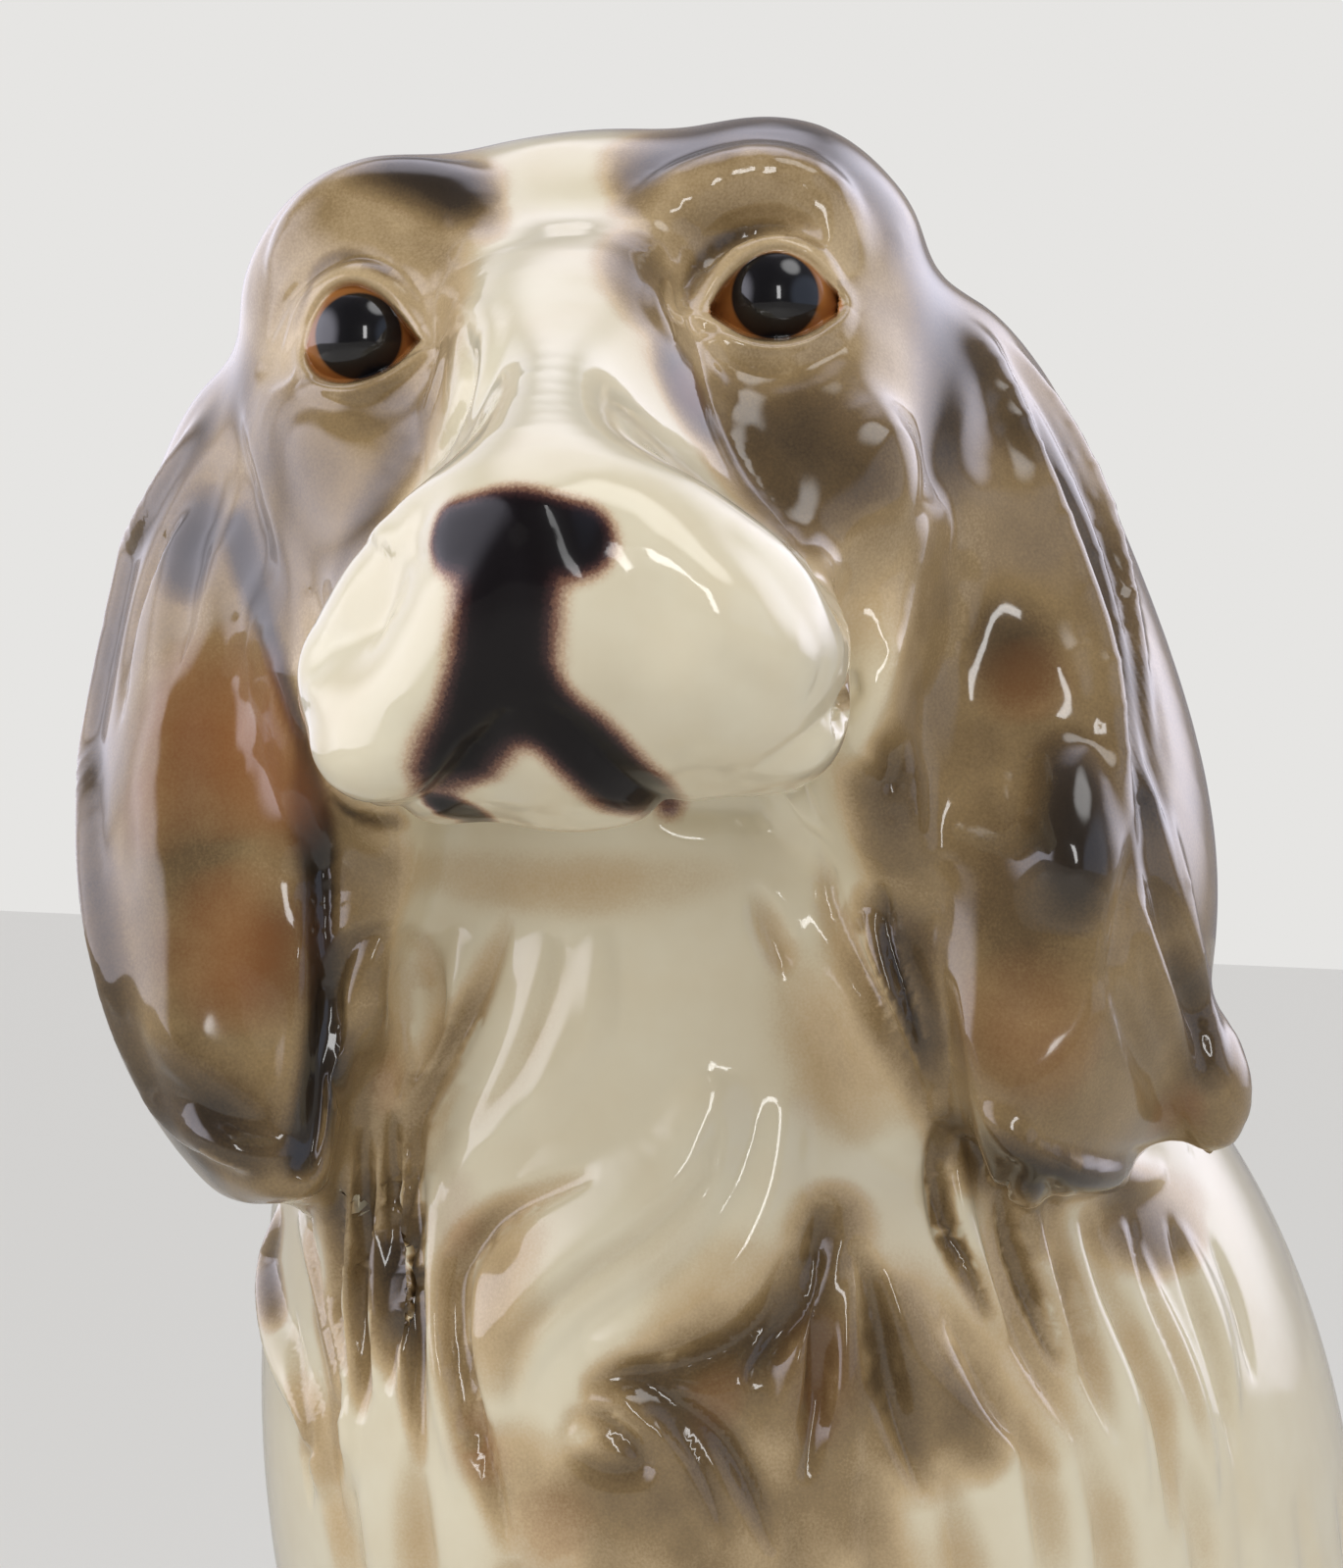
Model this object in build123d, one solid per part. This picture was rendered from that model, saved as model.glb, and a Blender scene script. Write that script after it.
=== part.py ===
from build123d import *
from math import cos, radians, sin
import os

# A seated long-eared gun dog in glazed earthenware, about 340 mm tall. It is slip-cast as nine
# castings, which are luted together with slip before the glaze firing. The torso, head, legs and
# haunches are hollow shells; the ears and the tail are cast solid.
# The dog faces -Y with +Z up, and its own left side is +X. All sizes are in mm and degrees.

# Slip casting
WALL = 4.5                # thickness that the slip builds up in the mould
DRAIN_DIAMETER = 20.0     # hole under the seat where the spare slip runs out
VENT_DIAMETER = 5.0       # lets the air of a hollow leg or haunch out into the torso

# Torso: level ovals at even steps from the seat to the top of the neck. BACK is how far the
# middle of an oval lies behind the shoulders.
TORSO_STEP = 32.5
SEAT_WIDTH = 102.0
SEAT_DEPTH = 106.0
SEAT_BACK = 54.0
RUMP_WIDTH = 114.0
RUMP_DEPTH = 122.0
RUMP_BACK = 49.0
LOIN_WIDTH = 118.0
LOIN_DEPTH = 133.0
LOIN_BACK = 42.0
BELLY_WIDTH = 118.0
BELLY_DEPTH = 141.0
BELLY_BACK = 34.0
RIBS_WIDTH = 118.0
RIBS_DEPTH = 146.0
RIBS_BACK = 25.0
CHEST_WIDTH = 120.0
CHEST_DEPTH = 152.0
CHEST_BACK = 14.0
SHOULDER_WIDTH = 118.0
SHOULDER_DEPTH = 149.0
SHOULDER_BACK = 4.5
WITHERS_WIDTH = 105.0
WITHERS_DEPTH = 121.0
WITHERS_BACK = -8.0
THROAT_WIDTH = 83.0
THROAT_DEPTH = 80.0
THROAT_BACK = -28.0
NECK_WIDTH = 48.0
NECK_DEPTH = 44.0
NECK_BACK = -37.0

# Head: upright ovals at even steps from the back of the skull to the lips. Its own frame starts
# on the bridge of the nose, midway between the eyes, and the neck stands up into its hollow.
HEAD_STEP = 13.0
PIVOT_RISE = 14.0         # of the point that the head is turned about, over the throat
PIVOT_BACK = -33.0
EYE_REACH = 42.0          # from the pivot forward to the eyes
EYE_RISE = 42.0           # from the pivot up to the eyes
HEAD_TURN = 27.5          # towards the dog's left
HEAD_LIFT = 3.0           # of the muzzle above level
HEAD_TILT = 5.6           # of the left eye above the right one
SKULL_WIDTH = 80.5
SKULL_DEPTH = 62.0
STOP_WIDTH = 61.0         # where the forehead falls to the bridge of the nose
STOP_DEPTH = 51.0
MUZZLE_WIDTH = 48.6
MUZZLE_DEPTH = 36.0
MUZZLE_DROP = 30.5        # from the eyes down to the middle of the muzzle
LIP_WIDTH = 19.0
LIP_DEPTH = 14.0
BROW_SPACING = 39.0
BROW_WIDTH = 33.0
BROW_DEPTH = 33.0
CHEEK_WIDTH = 30.0
CHEEK_DEPTH = 40.0
EYE_SPACING = 43.0
EYE_DIAMETER = 18.0
FLEW_WIDTH = 28.0
FLEW_DEPTH = 31.0
NOSE_WIDTH = 18.0
NOSE_DEPTH = 12.0
CHIN_WIDTH = 27.0
CHIN_DEPTH = 19.0

# Ears: level ovals at even steps down a flap whose back edge stands out from the neck
RIGHT_EAR_STEP = 15.1
LEFT_EAR_STEP = 16.2
EAR_WIDTH = 50.0          # from the front edge to the back edge
EAR_THICKNESS = 22.0
EAR_SPLAY = 24.0          # of the flap away from the head's own line
EAR_SET = 6.0             # from the side of the skull out to the middle of the flap
EAR_BACK = 20.0           # behind the eyes

# Forelegs and their paws: level ovals at even steps
FORELEG_STEP = 44.0
FORELEG_SPACING = 60.0
FORELEG_WIDTH = 28.0
FORELEG_DEPTH = 31.0
UPPER_ARM_SPACING = 46.0
UPPER_ARM_WIDTH = 38.0
UPPER_ARM_DEPTH = 52.0
UPPER_ARM_COVER = 14.0    # of the chest over the front of the upper arm
FORELEG_REACH = 40.0      # from the middle of the upper arm forward to the wrist
PAW_WIDTH = 34.0
PAW_LENGTH = 50.0
PAW_HEIGHT = 19.0

# Haunches and hind paws: level ovals at even steps
HAUNCH_STEP = 26.0
HAUNCH_WIDTH = 50.0
HAUNCH_DEPTH = 98.0
HAUNCH_BITE = 10.0        # how far the haunch's middle lies inside the side of the loin
HAUNCH_REACH = 2.0        # from the middle of the loin forward to that of the haunch
HIND_PAW_WIDTH = 32.0
HIND_PAW_LENGTH = 64.0
HIND_PAW_REACH = 52.0     # from the middle of the haunch forward to the middle of the paw

# Tail, lying on the table round the left haunch
TAIL_ROOT_DIAMETER = 27.0
TAIL_TIP_DIAMETER = 12.0
TAIL_ROOT_ANGLE = 125.0   # round the haunch from the dog's left side
TAIL_TIP_ANGLE = 8.0
TAIL_SECTIONS = 6

# Heights and places that several castings share
LOIN_HEIGHT = 2 * TORSO_STEP
RIBS_HEIGHT = 4 * TORSO_STEP
THROAT_HEIGHT = 8 * TORSO_STEP
CHEST_FRONT = CHEST_BACK - CHEST_DEPTH / 2
UPPER_ARM_BACK = CHEST_FRONT + UPPER_ARM_COVER + UPPER_ARM_DEPTH / 2
WRIST_BACK = UPPER_ARM_BACK - FORELEG_REACH
HAUNCH_SIDE = LOIN_WIDTH / 2 - HAUNCH_BITE
HAUNCH_BACK = LOIN_BACK - HAUNCH_REACH
LARGE = 900.0             # more than the whole dog


def level_oval(height, back, width, depth, side=0.0, turn=0.0):
    """A level oval with its middle at (side, back, height)."""
    return Pos(side, back, height) * Rot(0, 0, turn) * Ellipse(width / 2, depth / 2)


def upright_oval(behind, height, width, depth):
    """An upright oval across the head, this far behind the eyes."""
    plane = Plane(origin=(0, behind, height), x_dir=(1, 0, 0), z_dir=(0, -1, 0))
    return plane * Ellipse(width / 2, depth / 2)


def egg(width, length, height):
    """A closed oval solid about the origin."""
    return scale(Sphere(0.5), by=(width, length, height))


def above_table(shape):
    """The shape with what lies below the table top cut off flat."""
    return shape & (Pos(0, 0, LARGE / 2) * Box(LARGE, LARGE, LARGE))


def torso_shape(inset=0.0):
    """The trunk and neck. An inset gives their hollow."""
    ovals = (
        (SEAT_BACK, SEAT_WIDTH, SEAT_DEPTH),
        (RUMP_BACK, RUMP_WIDTH, RUMP_DEPTH),
        (LOIN_BACK, LOIN_WIDTH, LOIN_DEPTH),
        (BELLY_BACK, BELLY_WIDTH, BELLY_DEPTH),
        (RIBS_BACK, RIBS_WIDTH, RIBS_DEPTH),
        (CHEST_BACK, CHEST_WIDTH, CHEST_DEPTH),
        (SHOULDER_BACK, SHOULDER_WIDTH, SHOULDER_DEPTH),
        (WITHERS_BACK, WITHERS_WIDTH, WITHERS_DEPTH),
        (THROAT_BACK, THROAT_WIDTH, THROAT_DEPTH),
        (NECK_BACK, NECK_WIDTH, NECK_DEPTH),
    )
    sections = []
    for index, (back, width, depth) in enumerate(ovals):
        height = max(inset, index * TORSO_STEP)
        sections.append(level_oval(height, back, width - 2 * inset, depth - 2 * inset))
    return loft(sections)


def head_pose():
    """Carries a shape from the head's own frame to its place on the neck."""
    turn = Rot(0, 0, HEAD_TURN) * Rot(-HEAD_LIFT, 0, 0) * Rot(0, -HEAD_TILT, 0)
    return Pos(0, PIVOT_BACK, THROAT_HEIGHT + PIVOT_RISE) * turn * Pos(0, -EYE_REACH, EYE_RISE)


def head_core(inset=0.0):
    """Skull and muzzle without what stands out on them. An inset gives their hollow."""
    ovals = (
        (5, -8, 0.52 * SKULL_WIDTH, 0.55 * SKULL_DEPTH),
        (4, -6.5, 0.82 * SKULL_WIDTH, 0.86 * SKULL_DEPTH),
        (3, -7.5, 0.96 * SKULL_WIDTH, 0.97 * SKULL_DEPTH),
        (2, -8.5, SKULL_WIDTH, SKULL_DEPTH),
        (1, -10, 0.97 * SKULL_WIDTH, SKULL_DEPTH),
        (0, -17, STOP_WIDTH, STOP_DEPTH),
        (-1, 4.5 - MUZZLE_DROP, 1.07 * MUZZLE_WIDTH, 1.11 * MUZZLE_DEPTH),
        (-2, -MUZZLE_DROP, MUZZLE_WIDTH, MUZZLE_DEPTH),
        (-3, -MUZZLE_DROP - 1, 0.91 * MUZZLE_WIDTH, 0.90 * MUZZLE_DEPTH),
        (-4, -MUZZLE_DROP - 0.5, LIP_WIDTH, LIP_DEPTH),
    )
    back_end, front_end = ovals[0][0] * HEAD_STEP, ovals[-1][0] * HEAD_STEP
    sections = []
    for steps, height, width, depth in ovals:
        behind = min(max(steps * HEAD_STEP, front_end + inset), back_end - inset)
        sections.append(upright_oval(behind, height, width - 2 * inset, depth - 2 * inset))
    skull = loft(sections[:7])
    muzzle = loft(sections[4:])
    return skull + muzzle


def head_shape():
    """The whole head without its ears, solid and in its own frame."""
    shape = head_core()
    flew_side = (MUZZLE_WIDTH - FLEW_WIDTH) / 2 + 2.5
    cheek_side = (SKULL_WIDTH - CHEEK_WIDTH) / 2 - 2.5
    lips = -4 * HEAD_STEP
    for side in (-1, 1):
        shape += Pos(side * BROW_SPACING / 2, 18, 5) * egg(BROW_WIDTH, 38, BROW_DEPTH)
        shape += Pos(side * cheek_side, 16, -14) * egg(CHEEK_WIDTH, 46, CHEEK_DEPTH)
        shape += Pos(side * EYE_SPACING / 2, 7, 0) * Sphere(EYE_DIAMETER / 2)
        shape += Pos(side * flew_side, lips + 23, -MUZZLE_DROP - 5.5) * egg(FLEW_WIDTH, 46, FLEW_DEPTH)
    shape += Pos(0, lips + 18, -MUZZLE_DROP) * egg(0.86 * MUZZLE_WIDTH, 40, 0.88 * MUZZLE_DEPTH)
    shape += Pos(0, lips + 5, 5.5 - MUZZLE_DROP) * egg(NOSE_WIDTH, 15, NOSE_DEPTH)
    shape += Pos(0, lips + 23, -MUZZLE_DROP - 13.5) * egg(CHIN_WIDTH, 36, CHIN_DEPTH)
    return shape


def ear_shape(side):
    """One hanging ear in the head's frame. side is -1 for the dog's right and 1 for its left."""
    out = SKULL_WIDTH / 2 + EAR_SET
    ovals = (
        (out - 10, EAR_BACK + 4, 0.30, 0.30),
        (out - 5, EAR_BACK + 4, 0.72, 0.68),
        (out - 2, EAR_BACK + 3, 0.86, 0.88),
        (out + 0.5, EAR_BACK + 1, 0.95, 0.97),
        (out + 1, EAR_BACK - 1, 1.0, 1.0),
        (out - 1, EAR_BACK - 2, 0.90, 0.90),
        (out - 5, EAR_BACK - 3, 0.42, 0.45),
    )
    step = LEFT_EAR_STEP if side > 0 else RIGHT_EAR_STEP
    sections = []
    for index, (across, back, thickness, width) in enumerate(ovals):
        size = (thickness * EAR_THICKNESS, width * EAR_WIDTH)
        sections.append(level_oval(2 - index * step, back, *size, side * across, -side * EAR_SPLAY))
    return loft(sections)


def foreleg_shape(side, inset=0.0):
    """One foreleg from the table up into the chest. An inset gives its hollow."""
    ovals = (
        (0.0, FORELEG_WIDTH, FORELEG_DEPTH),
        (0.04, 0.97 * FORELEG_WIDTH, 0.97 * FORELEG_DEPTH),
        (0.18, 1.04 * FORELEG_WIDTH, 1.16 * FORELEG_DEPTH),
        (0.50, 0.90 * UPPER_ARM_WIDTH, 0.92 * UPPER_ARM_DEPTH),
        (1.0, UPPER_ARM_WIDTH, UPPER_ARM_DEPTH),
    )
    sections = []
    for index, (share, width, depth) in enumerate(ovals):
        height = max(inset, index * FORELEG_STEP)
        back = WRIST_BACK + share * FORELEG_REACH
        out = side * (FORELEG_SPACING + share * (UPPER_ARM_SPACING - FORELEG_SPACING)) / 2
        sections.append(level_oval(height, back, width - 2 * inset, depth - 2 * inset, out))
    return loft(sections)


def paw_shape(side):
    """The front paw, below the wrist."""
    place = Pos(side * FORELEG_SPACING / 2, WRIST_BACK - PAW_LENGTH / 4, 0)
    return place * egg(PAW_WIDTH, PAW_LENGTH, 2 * PAW_HEIGHT)


def haunch_shape(side, inset=0.0):
    """The folded thigh beside the loin. An inset gives its hollow."""
    ovals = (
        (HAUNCH_BACK - 3, 0.90, 0.92),
        (HAUNCH_BACK, 1.0, 1.0),
        (HAUNCH_BACK + 1, 0.97, 0.93),
        (HAUNCH_BACK + 2, 0.80, 0.74),
        (HAUNCH_BACK + 3, 0.38, 0.34),
    )
    sections = []
    for index, (back, width, depth) in enumerate(ovals):
        height = min(max(inset, index * HAUNCH_STEP), 4 * HAUNCH_STEP - inset)
        size = (width * HAUNCH_WIDTH - 2 * inset, depth * HAUNCH_DEPTH - 2 * inset)
        sections.append(level_oval(height, back, *size, side * HAUNCH_SIDE))
    return loft(sections)


def hind_paw_shape(side):
    """The hind foot, flat on the table in front of the haunch."""
    place = Pos(side * HAUNCH_SIDE, HAUNCH_BACK - HIND_PAW_REACH, 0)
    return place * egg(HIND_PAW_WIDTH, HIND_PAW_LENGTH, 2 * PAW_HEIGHT)


def tail_shape():
    """The tail, thinning towards its tip, with its flattened underside on the table."""
    sections = []
    for index in range(TAIL_SECTIONS):
        share = index / (TAIL_SECTIONS - 1)
        angle = radians(TAIL_ROOT_ANGLE + share * (TAIL_TIP_ANGLE - TAIL_ROOT_ANGLE))
        radius = (TAIL_ROOT_DIAMETER + share * (TAIL_TIP_DIAMETER - TAIL_ROOT_DIAMETER)) / 2
        across = HAUNCH_WIDTH / 2 + radius - 1
        along = HAUNCH_DEPTH / 2 + radius - 1
        middle = (HAUNCH_SIDE + across * cos(angle), HAUNCH_BACK + along * sin(angle), 0.85 * radius)
        towards_tip = (across * sin(angle), -along * cos(angle), 0)
        sections.append(Plane(origin=middle, z_dir=towards_tip) * Circle(radius))
    return above_table(loft(sections))


def vents():
    """Holes in the torso's wall behind each foreleg and beside each haunch."""
    holes = []
    for side in (-1, 1):
        hole = Cylinder(VENT_DIAMETER / 2, 30)
        into_leg = Pos(side * FORELEG_SPACING / 2, CHEST_FRONT + UPPER_ARM_COVER, RIBS_HEIGHT)
        holes.append(into_leg * Rot(90, 0, 0) * hole)
        into_haunch = Pos(side * HAUNCH_SIDE, HAUNCH_BACK, HAUNCH_STEP)
        holes.append(into_haunch * Rot(0, 90, 0) * hole)
    return holes


def build():
    """All nine castings, each cut to the faces where it is luted to its neighbours."""
    torso = torso_shape()
    head = head_pose() * head_shape()
    drain = Pos(0, SEAT_BACK, 0) * Cylinder(DRAIN_DIAMETER / 2, 4 * WALL)
    tail = tail_shape() - torso
    castings = {
        "torso_casting": torso - torso_shape(WALL) - drain - vents(),
        "head_casting": head - head_pose() * head_core(WALL) - torso,
    }
    for name, side in (("right", -1), ("left", 1)):
        ear = head_pose() * ear_shape(side)
        castings[name + "_ear_casting"] = ear - head - torso
        leg = above_table(foreleg_shape(side) + paw_shape(side)) - foreleg_shape(side, WALL)
        castings[name + "_foreleg_casting"] = leg - torso
        haunch = above_table(haunch_shape(side) + hind_paw_shape(side))
        castings[name + "_haunch_casting"] = haunch - haunch_shape(side, WALL) - torso
        tail = tail - haunch
    castings["tail_casting"] = tail
    return castings


def centred(castings):
    """The castings with the origin on the table, under the middle of their box."""
    boxes = [casting.bounding_box() for casting in castings.values()]
    right, left = min(box.min.X for box in boxes), max(box.max.X for box in boxes)
    front, back = min(box.min.Y for box in boxes), max(box.max.Y for box in boxes)
    move = Pos(-(right + left) / 2, -(front + back) / 2, 0)
    print(f"{left - right:.2f} wide, {back - front:.2f} long, {max(box.max.Z for box in boxes):.2f} tall")
    print(f"moved by {move.position.X:.3f}, {move.position.Y:.3f}")
    return {name: move * casting for name, casting in castings.items()}


os.makedirs("parts", exist_ok=True)
for name, casting in centred(build()).items():
    export_step(casting, f"parts/{name}.step")
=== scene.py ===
"""A seated, long-eared gun dog in slip-cast earthenware, airbrushed and glazed."""
import random
from functools import partial
from math import cos, pi, radians, sin

import bmesh
import bpy
import numpy as np
from mathutils import Matrix, Vector
from mathutils.bvhtree import BVHTree


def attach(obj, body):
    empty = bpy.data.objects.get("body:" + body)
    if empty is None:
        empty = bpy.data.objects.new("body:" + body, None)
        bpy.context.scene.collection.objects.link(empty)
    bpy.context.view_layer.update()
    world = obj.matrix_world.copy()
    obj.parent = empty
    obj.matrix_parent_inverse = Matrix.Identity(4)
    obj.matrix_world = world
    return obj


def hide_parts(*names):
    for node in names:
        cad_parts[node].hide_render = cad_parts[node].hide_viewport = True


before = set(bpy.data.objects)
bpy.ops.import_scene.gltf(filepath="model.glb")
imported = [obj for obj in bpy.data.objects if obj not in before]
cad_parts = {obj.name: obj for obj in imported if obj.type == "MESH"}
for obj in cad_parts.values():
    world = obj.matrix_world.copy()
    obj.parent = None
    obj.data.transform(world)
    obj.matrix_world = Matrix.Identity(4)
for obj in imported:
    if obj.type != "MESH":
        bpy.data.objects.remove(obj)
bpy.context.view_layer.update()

# Lengths are mm until they go into a mesh, apart from the studio's, which are m.
MM = 0.001
ORIGIN_SHIFT = Vector((-5.495, 6.281, 0.0))     # from the point under the shoulders to the row's origin
HEAD_PIVOT = Vector((0.0, -33.0, 274.0)) + ORIGIN_SHIFT
HEAD_TURN, HEAD_LIFT, HEAD_TILT = radians(27.5), radians(3.0), radians(5.6)
EYE_REACH, EYE_RISE = 42.0, 42.0                # from the pivot to the point between the eyes
HEAD = (Matrix.Translation(HEAD_PIVOT) @ Matrix.Rotation(HEAD_TURN, 4, "Z")
        @ Matrix.Rotation(-HEAD_LIFT, 4, "X") @ Matrix.Rotation(-HEAD_TILT, 4, "Y")
        @ Matrix.Translation((0, -EYE_REACH, EYE_RISE)))
EYES = HEAD.translation

BODY_NODES = ("torso_casting", "right_foreleg_casting", "left_foreleg_casting",
              "right_haunch_casting", "left_haunch_casting", "tail_casting")
HEAD_NODES = ("head_casting", "right_ear_casting", "left_ear_casting")
NODES = BODY_NODES + HEAD_NODES


# ---------------------------------------------------------------- camera

VIEW_TURN, VIEW_RISE = radians(32.0), radians(2.0)
VIEW_DISTANCE = 450.0
VIEW_SIDEWAYS, VIEW_DROP = 10.5, 48.0           # from between the eyes to the picture's middle
LENS = 101.3
VIEW_RIGHT = Vector((cos(VIEW_TURN), sin(VIEW_TURN), 0))
VIEW_BACK = Vector((sin(VIEW_TURN) * cos(VIEW_RISE), -cos(VIEW_TURN) * cos(VIEW_RISE), sin(VIEW_RISE)))
VIEW_UP = VIEW_BACK.cross(VIEW_RIGHT)
TARGET = EYES + VIEW_RIGHT * VIEW_SIDEWAYS - VIEW_UP * VIEW_DROP
VIEWPOINT = TARGET + VIEW_BACK * VIEW_DISTANCE


def add_object(name, data):
    """Puts a new object in the scene."""
    made = bpy.data.objects.new(name, data)
    bpy.context.scene.collection.objects.link(made)
    return made


def add_camera():
    """Stands the camera close in front of the head, nearly level with it."""
    data = bpy.data.cameras.new("camera")
    data.sensor_width = 36
    data.lens = LENS
    data.clip_start, data.clip_end = 0.01, 20
    camera = add_object("camera", data)
    axes = Matrix((VIEW_RIGHT, VIEW_UP, VIEW_BACK)).transposed().to_4x4()
    camera.matrix_world = Matrix.Translation(VIEWPOINT * MM) @ axes
    bpy.context.scene.camera = camera


# ---------------------------------------------------------------- places

# A place on the head or chest is (across, up), on an upright sheet between the eyes as the viewer sees it.

def at(place, depth):
    """The point seen at a place, so much nearer the viewer than the sheet between the eyes."""
    through = EYES + VIEW_RIGHT * place[0] + VIEW_UP * place[1]
    return VIEWPOINT + (through - VIEWPOINT) * (1 - depth / ((VIEWPOINT - EYES) @ VIEW_BACK))


def on_sheet(points):
    """(across, up) of points, as the viewer sees them."""
    away = points - np.array(VIEWPOINT)
    depth = away @ -np.array(VIEW_BACK)
    sheet = (EYES - VIEWPOINT) @ -VIEW_BACK
    flat = away * (sheet / depth)[:, None] + np.array(VIEWPOINT - EYES)
    return flat @ np.array(VIEW_RIGHT), flat @ np.array(VIEW_UP)


def local_to_head(points):
    """Points from between the eyes, along the head's own right, back and up."""
    turn = np.array(HEAD.to_3x3().inverted())
    return (points - np.array(EYES)) @ turn.T


def local_to_body(side=1):
    """Takes places from the point under the shoulders, with x going outwards on one side, to the row's."""
    return Matrix.Translation(ORIGIN_SHIFT) @ Matrix.Diagonal((side, 1, 1, 1))


def ease(value, low, high):
    """0 below low, 1 above high, and smooth between."""
    t = np.clip((value - low) / (high - low), 0, 1)
    return t * t * (3 - 2 * t)


def spline(places, step):
    """Points about a step apart on a smooth curve through the places."""
    p = np.array(places, float)
    if len(p) == 2:
        p = np.array([p[0], (p[0] + p[1]) / 2, p[1]])
    ends = np.vstack([2 * p[0] - p[1], p, 2 * p[-1] - p[-2]])
    found = []
    for a, b, c, d in zip(ends, ends[1:], ends[2:], ends[3:]):
        count = max(2, int(np.linalg.norm(c[:2] - b[:2]) / step))
        for t in np.arange(count) / count:
            found.append(0.5 * (2 * b + (c - a) * t + (2 * a - 5 * b + 4 * c - d) * t ** 2
                                + (3 * b - a - 3 * c + d) * t ** 3))
    found.append(p[-1])
    return np.array(found)


def outline_distance(across, up, outline):
    """Distance to a closed outline on the sheet, less than 0 inside it."""
    ring = spline(list(outline) + [outline[0]], 0.3)
    inside = np.zeros(len(across), bool)
    best = np.full(len(across), np.inf)
    for (ax, ay), (bx, by) in zip(ring, ring[1:]):
        crosses = (ay > up) != (by > up)
        inside ^= crosses & (across < (bx - ax) * (up - ay) / (by - ay + 1e-12) + ax)
        dx, dy = bx - ax, by - ay
        t = np.clip(((across - ax) * dx + (up - ay) * dy) / (dx * dx + dy * dy + 1e-12), 0, 1)
        best = np.minimum(best, np.hypot(across - ax - t * dx, up - ay - t * dy))
    return np.where(inside, -best, best)


# ---------------------------------------------------------------- clay

VOXEL = 1.5
SPONGINGS = 16
DRAIN_PLUG, DRAIN_PLUG_RADIUS, DRAIN_PLUG_DEPTH = Vector((0, 54, 4)), 12, 3
SIDE_FILLERS = (
    # middle and radii in the head's axes, on both sides
    ((17, 20, 6), (20, 22, 14)),                # brow, filled to the crown
    ((29, 12, -40), (11, 20, 24)),              # between cheek, ear and neck
)
MIDDLE_FILLERS = (
    # middle, radii, turn in the head's axes
    ((0, -16, -9), (12, 36, 9), (22, 0, 0)),    # bridge
    ((0, 58, -8), (25, 14, 19), (0, 0, 0)),     # back of the skull
)
SEEN_FILLERS = (
    # (across, up), how much nearer than the eyes, radii across, away and up, lean
    ((-19.5, -73.9), -26, (8, 10, 30), 4),      # beside the ears
    ((-23.5, -57.9), -12, (6, 9, 22), 0),
    ((36, -63.9), -11, (10, 10, 22), 0),
    ((64.6, -77.9), -18, (5.5, 7, 9), -12),     # tip of the left ear
    ((26.5, -17.4), 6, (10, 10, 11), 0),        # left cheek
)


def egg(clay, middle, radii, place=HEAD, turn=(0, 0, 0)):
    """Adds an oval lump to a bmesh."""
    turned = Matrix.Rotation(radians(turn[2]), 4, "Z") @ Matrix.Rotation(radians(turn[1]), 4, "Y")
    turned = turned @ Matrix.Rotation(radians(turn[0]), 4, "X")
    shape = place @ Matrix.Translation(middle) @ turned @ Matrix.Diagonal((*radii, 1))
    bmesh.ops.create_icosphere(clay, subdivisions=4, radius=1, matrix=Matrix.Scale(MM, 4) @ shape)


def joined_castings():
    """One closed skin over all nine castings, with their joins filled and sponged smooth."""
    clay = bmesh.new()
    for name in NODES:
        clay.from_mesh(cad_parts[name].data)
    bmesh.ops.remove_doubles(clay, verts=clay.verts, dist=0.001 * MM)
    radius = DRAIN_PLUG_RADIUS * MM
    bmesh.ops.create_cone(clay, cap_ends=True, segments=32, radius1=radius, radius2=radius,
                          depth=DRAIN_PLUG_DEPTH * MM,
                          matrix=Matrix.Translation((ORIGIN_SHIFT + DRAIN_PLUG) * MM))
    for side in (-1, 1):
        for (x, y, z), radii in SIDE_FILLERS:
            egg(clay, (side * x, y, z), radii)
    for middle, radii, turn in MIDDLE_FILLERS:
        egg(clay, middle, radii, turn=turn)
    upright = Matrix.Rotation(VIEW_TURN, 4, "Z")
    for place, depth, radii, lean in SEEN_FILLERS:
        egg(clay, upright.inverted() @ at(place, depth), radii, upright, (0, lean, 0))
    mesh = bpy.data.meshes.new("clay")
    clay.to_mesh(mesh)
    clay.free()
    lump = add_object("clay", mesh)
    remesh = lump.modifiers.new("remesh", "REMESH")
    remesh.mode = "VOXEL"
    remesh.voxel_size = VOXEL * MM
    sponge = lump.modifiers.new("sponge", "SMOOTH")
    sponge.factor = 0.5
    sponge.iterations = SPONGINGS
    skin = bpy.data.meshes.new_from_object(lump.evaluated_get(bpy.context.evaluated_depsgraph_get()))
    bpy.data.objects.remove(lump)
    return skin


# Profiles of a stroke, from its middle line (0) to its edge (1), and how strong it is from start to end.

def mound(r):
    """A round swelling."""
    return (1 - r * r) ** 2


def crease(r):
    """A narrow, sharper line."""
    return (1 - r) ** 2 * (1 + r)


def both_ends(t):
    """Thin at both ends."""
    return np.sin(pi * np.clip(t, 0, 1)) ** 0.6


def start_thin(t):
    """Thin at its start."""
    return np.clip(t * 3, 0, 1) ** 0.8


def end_thin(t):
    """Thin at its end."""
    return np.clip((1 - t) * 3, 0, 1) ** 0.8


def even(t):
    """As strong all the way."""
    return np.ones_like(t)


PATCH_REACH = 45


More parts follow.
